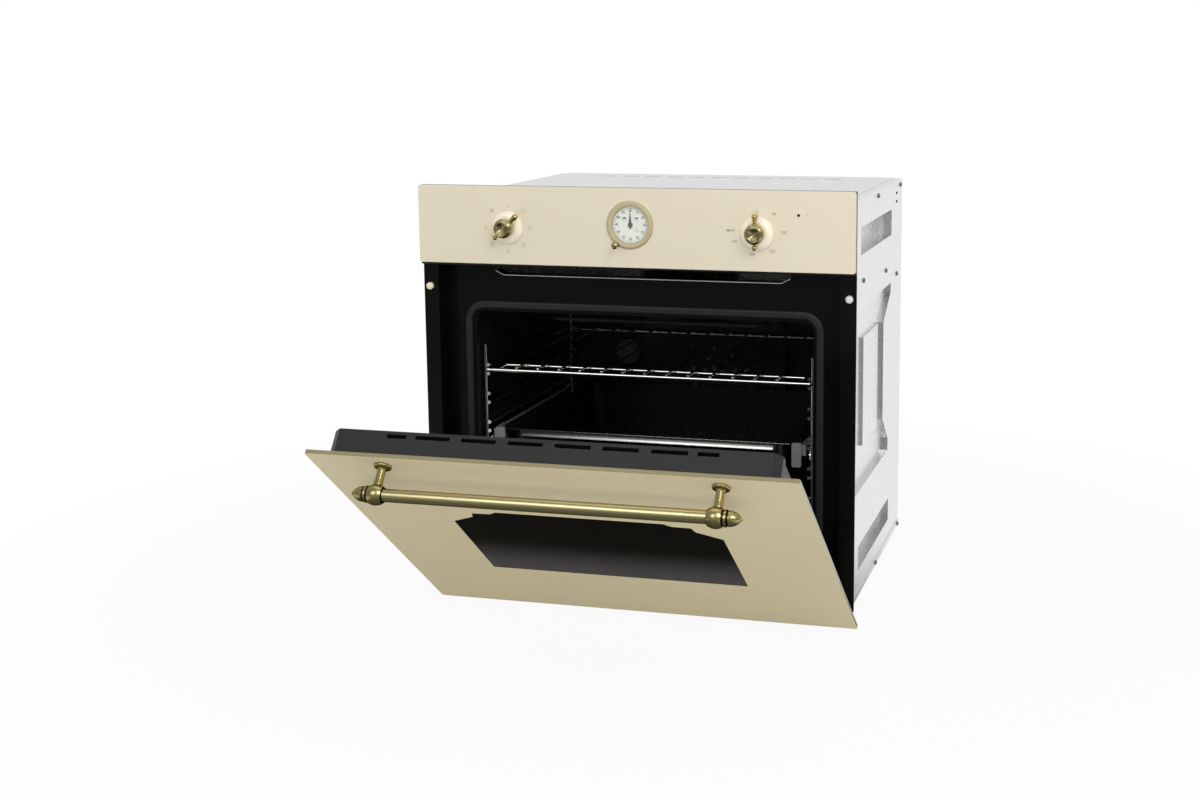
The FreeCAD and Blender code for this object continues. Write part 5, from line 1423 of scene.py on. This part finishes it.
@dataclass
class ControlPanel:
    """Cream glass panel with two knobs, a round clock and a pilot light.

    Attributes:
        rim_set: How far the moulded rim stands back from the glass's edge.
        rim_depth: Its depth behind the glass.
        rim_w: Width of its bars.
        rim_r: Radius of its outer and inner corners.
        foam_lap: How far the foam strip laps the panel and the frame.
        foam_bulge: How far its front bulges.
        foam_past: How far it reaches behind the rim.
    """

    rim_set: float = 0.2 * MM
    rim_depth: float = 8.0 * MM
    rim_w: float = 4.0 * MM
    rim_r: Point = (1.5 * MM, 1.0 * MM)
    foam_lap: float = 0.5 * MM
    foam_bulge: float = 1.5 * MM
    foam_past: float = 1.0 * MM

    def dress(self) -> None:
        """Gives the panel's nodes their finishes."""
        dress(PANEL_GLASS, "control_panel")
        dress(SKIRT, "knob_skirts")
        dress(turned_brass("function_turn"), "function_knob")
        dress(turned_brass("thermostat_turn"), "thermostat_knob")
        dress(CAST_BRASS, "clock_set_knob")
        dress(STEEL, "function_spindle", "thermostat_spindle")
        dress(PLASTIC, "function_switch", "thermostat_body", "clock_body")
        dress(BEZEL, "clock_bezel")
        dress(DIAL, "clock_dial")
        dress(LENS, "clock_lens")
        dress(HAND, "hour_hand", "minute_hand")
        dress(PILOT, "indicator_lens")

    def build(self) -> None:
        """Prints the panel and the clock's dial, and adds the rim and the foam behind the glass."""
        PanelPrint(FlatArt(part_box("control_panel")[0].y)).build()
        ClockDial().build()
        self.build_rim()

    def build_rim(self) -> None:
        """Adds the black moulded rim behind the glass and the foam strip under it."""
        low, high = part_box("control_panel")
        rear = high.y + self.rim_depth
        x, z = (low.x + self.rim_set, high.x - self.rim_set), (low.z + self.rim_set, high.z - self.rim_set / 2)
        inner_x, inner_z = [(span[0] + self.rim_w, span[1] - self.rim_w) for span in (x, z)]
        rim = FlatArt(rear, self.rim_depth)
        rim.ring(rounded(x, z, self.rim_r[0]), rounded(inner_x, inner_z, self.rim_r[1]))
        adopt("panel_rim", rim.mesh(), PLASTIC, "oven")
        frame_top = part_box("front_frame")[1].z
        middle, half = (low.z + frame_top) / 2, (low.z - frame_top) / 2 + self.foam_lap
        turns = [math.pi / 2 + math.pi * i / Steps.BULGE for i in range(Steps.BULGE + 1)]
        strip = [(high.y + self.foam_bulge * (1 + math.cos(a)), middle + half * math.sin(a)) for a in turns]
        strip += [(rear + self.foam_past, middle - half), (rear + self.foam_past, middle + half)]
        adopt("panel_foam_strip", drawn(strip, x), RUBBER, "oven")


@dataclass
class Door:
    """Drop-down door with its glass, window, trim and brass handle."""

    def dress(self) -> None:
        """Gives the door's nodes their finishes."""
        dress(DOOR_GLASS, "door_glass")
        # The window's grey foot is a painted reflection
        dress(WINDOW_PAINTED_REFLECTION, "door_window")
        dress(TINTED, "door_inner_glass")
        dress(ANTHRACITE, "door_columns", "door_top_trim")
        dress(BRASS, "handle_bar")
        dress(handle_brass(), "handle_brackets")


@dataclass(frozen=True)
class Lamp:
    """One soft square lamp.

    Attributes:
        name: Its name.
        place: Its place.
        width: Its width.
        power: Its power in watts.
        mirrored: Whether metal and glass show it.
    """

    name: str
    place: Triple
    width: float
    power: float
    mirrored: bool = True

    def hang(self, aim: Triple) -> None:
        """Hangs the lamp so that it faces a point.

        Args:
            aim: The point.
        """
        data = bpy.data.lights.new(self.name, "AREA")
        data.shape = "SQUARE"
        data.size = self.width
        data.energy = self.power
        lamp = placed(self.name, data)
        lamp.location = self.place
        lamp.visible_glossy = self.mirrored
        lamp.rotation_euler = (Vector(aim) - Vector(self.place)).to_track_quat("-Z", "Y").to_euler()


@dataclass
class Studio:
    """White floor, soft lamps and the camera of the photograph.

    Attributes:
        ambient: Strength of the world's even light.
        dim: How bright the unlit front of the room looks in a reflection.
        rear_span: Direction along Y where the dim front ends and where the white rear is whole.
        wall: How bright the wall behind the oven looks in a reflection, above the white floor.
        wall_span: Direction along Z where the floor's white ends and where the wall begins.
        bounce: Share of white light that the floor sends up everywhere.
        floor_z: Height of the floor, just under the lowest reach of the door.
        floor_r: Its radius.
        floor_fade: Distance where the shadow starts to fade and where the floor is plain white.
        floor_tone: Colour of its paint.
        floor_mirrored: Colour of its paint in a reflection.
        glow: Share of white that the floor shows near the oven; the rest keeps the shadow.
        shade_at: Middle of the oval of floor in front of the oven that looks dark in a reflection.
        shade_slim: How much narrower than long the oval is.
        shade: Half width of its dark core and of its whole.
        camera_at: Place of the camera.
        yaw: Its turn to the left, in degrees.
        pitch: How far it looks down, in degrees.
        roll: Its tilt, in degrees.
        focal_px: Its focal length in pixels of the photograph.
        sensor_mm: Width of its sensor.
        image_w: Width of the photograph in pixels.
        shift_px: Shift of the picture, in pixels.
        aim: What the lamps face.
        lamps: The lamps.
    """

    ambient: float = 0.4
    dim: float = 0.3
    rear_span: Point = (-0.15, 0.5)
    wall: float = 0.86
    wall_span: Point = (-0.1, 0.1)
    bounce: float = 0.5
    floor_z: float = -0.0215
    floor_r: float = 1.6
    floor_fade: Point = (0.7, 1.3)
    floor_tone: str = "d2d2d0"
    floor_mirrored: str = "6c6c6a"
    glow: float = 0.94
    shade_at: Point = (-0.05, -1.1)
    shade_slim: float = 0.45
    shade: Point = (0.45, 0.75)
    camera_at: Triple = (0.6607, -2.3897, 0.7497)
    yaw: float = 14.977
    pitch: float = 8.927
    roll: float = -0.252
    focal_px: float = 1707.75
    sensor_mm: float = 36.0
    image_w: float = 1200.0
    shift_px: Point = (-100.0, -80.0)
    aim: Triple = (0.0, -0.1, 0.3)
    lamps: tuple[Lamp, ...] = (Lamp("key_lamp", (1.5, -2.3, 2.1), 1.4, 33.0),
                               Lamp("front_lamp", (0.5, -2.8, 0.4), 1.0, 25.0, mirrored=False),
                               Lamp("fill_lamp", (-0.8, -3.0, 1.9), 1.4, 16.0),
                               Lamp("top_lamp", (0.0, 0.2, 2.4), 1.8, 9.0))

    def build(self) -> None:
        """Sets the world, the floor, the lamps and the camera."""
        bpy.context.scene.view_settings.view_transform = "Standard"
        self.world()
        self.floor()
        for lamp in self.lamps:
            lamp.hang(self.aim)
        self.camera()

    def plainly(self, tree: Tree, path: Node) -> Socket:
        """Tells rays that show a thing straight or through glass, 1, from all others, 0.

        Args:
            tree: Tree that gets the node.
            path: The tree's Light Path node.

        Returns:
            The socket of the share.
        """
        straight, through = path.outputs["Is Camera Ray"], path.outputs["Is Transmission Ray"]
        return add(tree, "ShaderNodeMath", {0: straight, 1: through}, operation="MAXIMUM").outputs[0]

    def world(self) -> None:
        """Makes a white room that is dim towards the front, where reflections are dark."""
        world = bpy.data.worlds.new("white_studio")
        bpy.context.scene.world = world
        tree = emptied(world)
        way = add(tree, "ShaderNodeSeparateXYZ", {0: add(tree, "ShaderNodeTexCoord").outputs["Generated"]})
        rear = add(tree, "ShaderNodeMapRange", {"Value": way.outputs["Y"], "From Min": self.rear_span[0],
                                                "From Max": self.rear_span[1]}, interpolation_type="SMOOTHSTEP")
        upper = add(tree, "ShaderNodeMapRange", {"Value": way.outputs["Z"], "From Min": self.wall_span[0],
                                                 "From Max": self.wall_span[1], "To Min": 1.0,
                                                 "To Max": self.wall})
        mirrored = add(tree, "ShaderNodeMapRange", {"Value": rear.outputs[0], "To Min": self.dim,
                                                    "To Max": upper.outputs[0]})
        path = add(tree, "ShaderNodeLightPath")
        other = add(tree, "ShaderNodeMapRange", {"Value": path.outputs["Is Glossy Ray"], "To Min": self.ambient,
                                                 "To Max": mirrored.outputs[0]})
        level = add(tree, "ShaderNodeMapRange", {"Value": self.plainly(tree, path), "To Min": other.outputs[0],
                                                 "To Max": 1.0})
        light = add(tree, "ShaderNodeBackground", {"Color": linear("ffffff"), "Strength": level.outputs[0]})
        add(tree, "ShaderNodeOutputWorld", {"Surface": light.outputs[0]})

    def floor(self) -> None:
        """Lays a white floor that keeps a faint shadow."""
        shape = bmesh.new()
        bmesh.ops.create_circle(shape, cap_ends=True, segments=Steps.FLOOR, radius=self.floor_r)
        mesh = bpy.data.meshes.new("floor")
        shape.to_mesh(mesh)
        shape.free()
        mesh.transform(Matrix.Translation((0, 0, self.floor_z)))
        mesh.materials.append(self.floor_paint())
        placed("floor", mesh)

    def floor_paint(self) -> bpy.types.Material:
        """Makes the floor's paint: white to the eye, with a share that takes light and keeps the shadow.

        Returns:
            The material.
        """
        made = bpy.data.materials.new("white_floor")
        tree = emptied(made)
        place = add(tree, "ShaderNodeTexCoord").outputs["Object"]
        path = add(tree, "ShaderNodeLightPath")
        glossy = path.outputs["Is Glossy Ray"]
        reach = add(tree, "ShaderNodeVectorMath", {0: place}, operation="LENGTH").outputs["Value"]
        far = add(tree, "ShaderNodeMapRange", {"Value": reach, "From Min": self.floor_fade[0],
                                               "From Max": self.floor_fade[1]}, interpolation_type="SMOOTHSTEP")
        white = add(tree, "ShaderNodeMapRange", {"Value": far.outputs[0], "To Min": self.glow})
        direct = add(tree, "ShaderNodeMath", {0: self.plainly(tree, path), 1: white.outputs[0]},
                     operation="MULTIPLY")
        away = distance(tree, place, (*self.shade_at, 0.0), (1.0, self.shade_slim, 0.0))
        clear = add(tree, "ShaderNodeMapRange", {"Value": away, "From Min": self.shade[0],
                                                 "From Max": self.shade[1]}, interpolation_type="SMOOTHSTEP")
        mirrored = add(tree, "ShaderNodeMath", {0: glossy, 1: clear.outputs[0]}, operation="MULTIPLY")
        plain = add(tree, "ShaderNodeMath", {0: direct.outputs[0], 1: mirrored.outputs[0]}, operation="MAXIMUM")
        lit = add(tree, "ShaderNodeMath", {0: path.outputs["Is Diffuse Ray"], 1: self.bounce},
                  operation="MULTIPLY")
        share = add(tree, "ShaderNodeMath", {0: plain.outputs[0], 1: lit.outputs[0]}, operation="MAXIMUM")
        tone = add(tree, "ShaderNodeMix", {0: glossy, 6: linear(self.floor_tone),
                                           7: linear(self.floor_mirrored)}, data_type="RGBA")
        paint = add(tree, "ShaderNodeBsdfDiffuse", {"Color": tone.outputs[2]})
        glow = add(tree, "ShaderNodeEmission", {"Color": linear("ffffff"), "Strength": 1.0})
        both = add(tree, "ShaderNodeMixShader", {0: share.outputs[0], 1: paint.outputs[0], 2: glow.outputs[0]})
        add(tree, "ShaderNodeOutputMaterial", {"Surface": both.outputs[0]})
        return made

    def camera(self) -> None:
        """Stands the camera where the photograph was taken."""
        data = bpy.data.cameras.new("camera")
        data.sensor_width = self.sensor_mm
        data.lens = self.sensor_mm * self.focal_px / self.image_w
        data.shift_x, data.shift_y = [shift / self.image_w for shift in self.shift_px]
        turns = ((self.yaw, "Z"), (90.0 - self.pitch, "X"), (self.roll, "Z"))
        yaw, tilt, roll = [Matrix.Rotation(math.radians(angle), 4, axis) for angle, axis in turns]
        camera = placed("camera", data)
        camera.matrix_world = Matrix.Translation(self.camera_at) @ yaw @ tilt @ roll
        bpy.context.scene.camera = camera


def main() -> None:
    """Dresses the sub-assemblies, adds their fine pieces and sets up the studio."""
    logging.basicConfig(level=logging.INFO, format="%(message)s")
    casing, cavity, panel, door = Casing(), Cavity(), ControlPanel(), Door()
    for assembly in (casing, cavity, panel, door):
        assembly.dress()
    for assembly in (casing, cavity, panel):
        assembly.build()
    Studio().build()


if __name__ == "__main__":
    main()
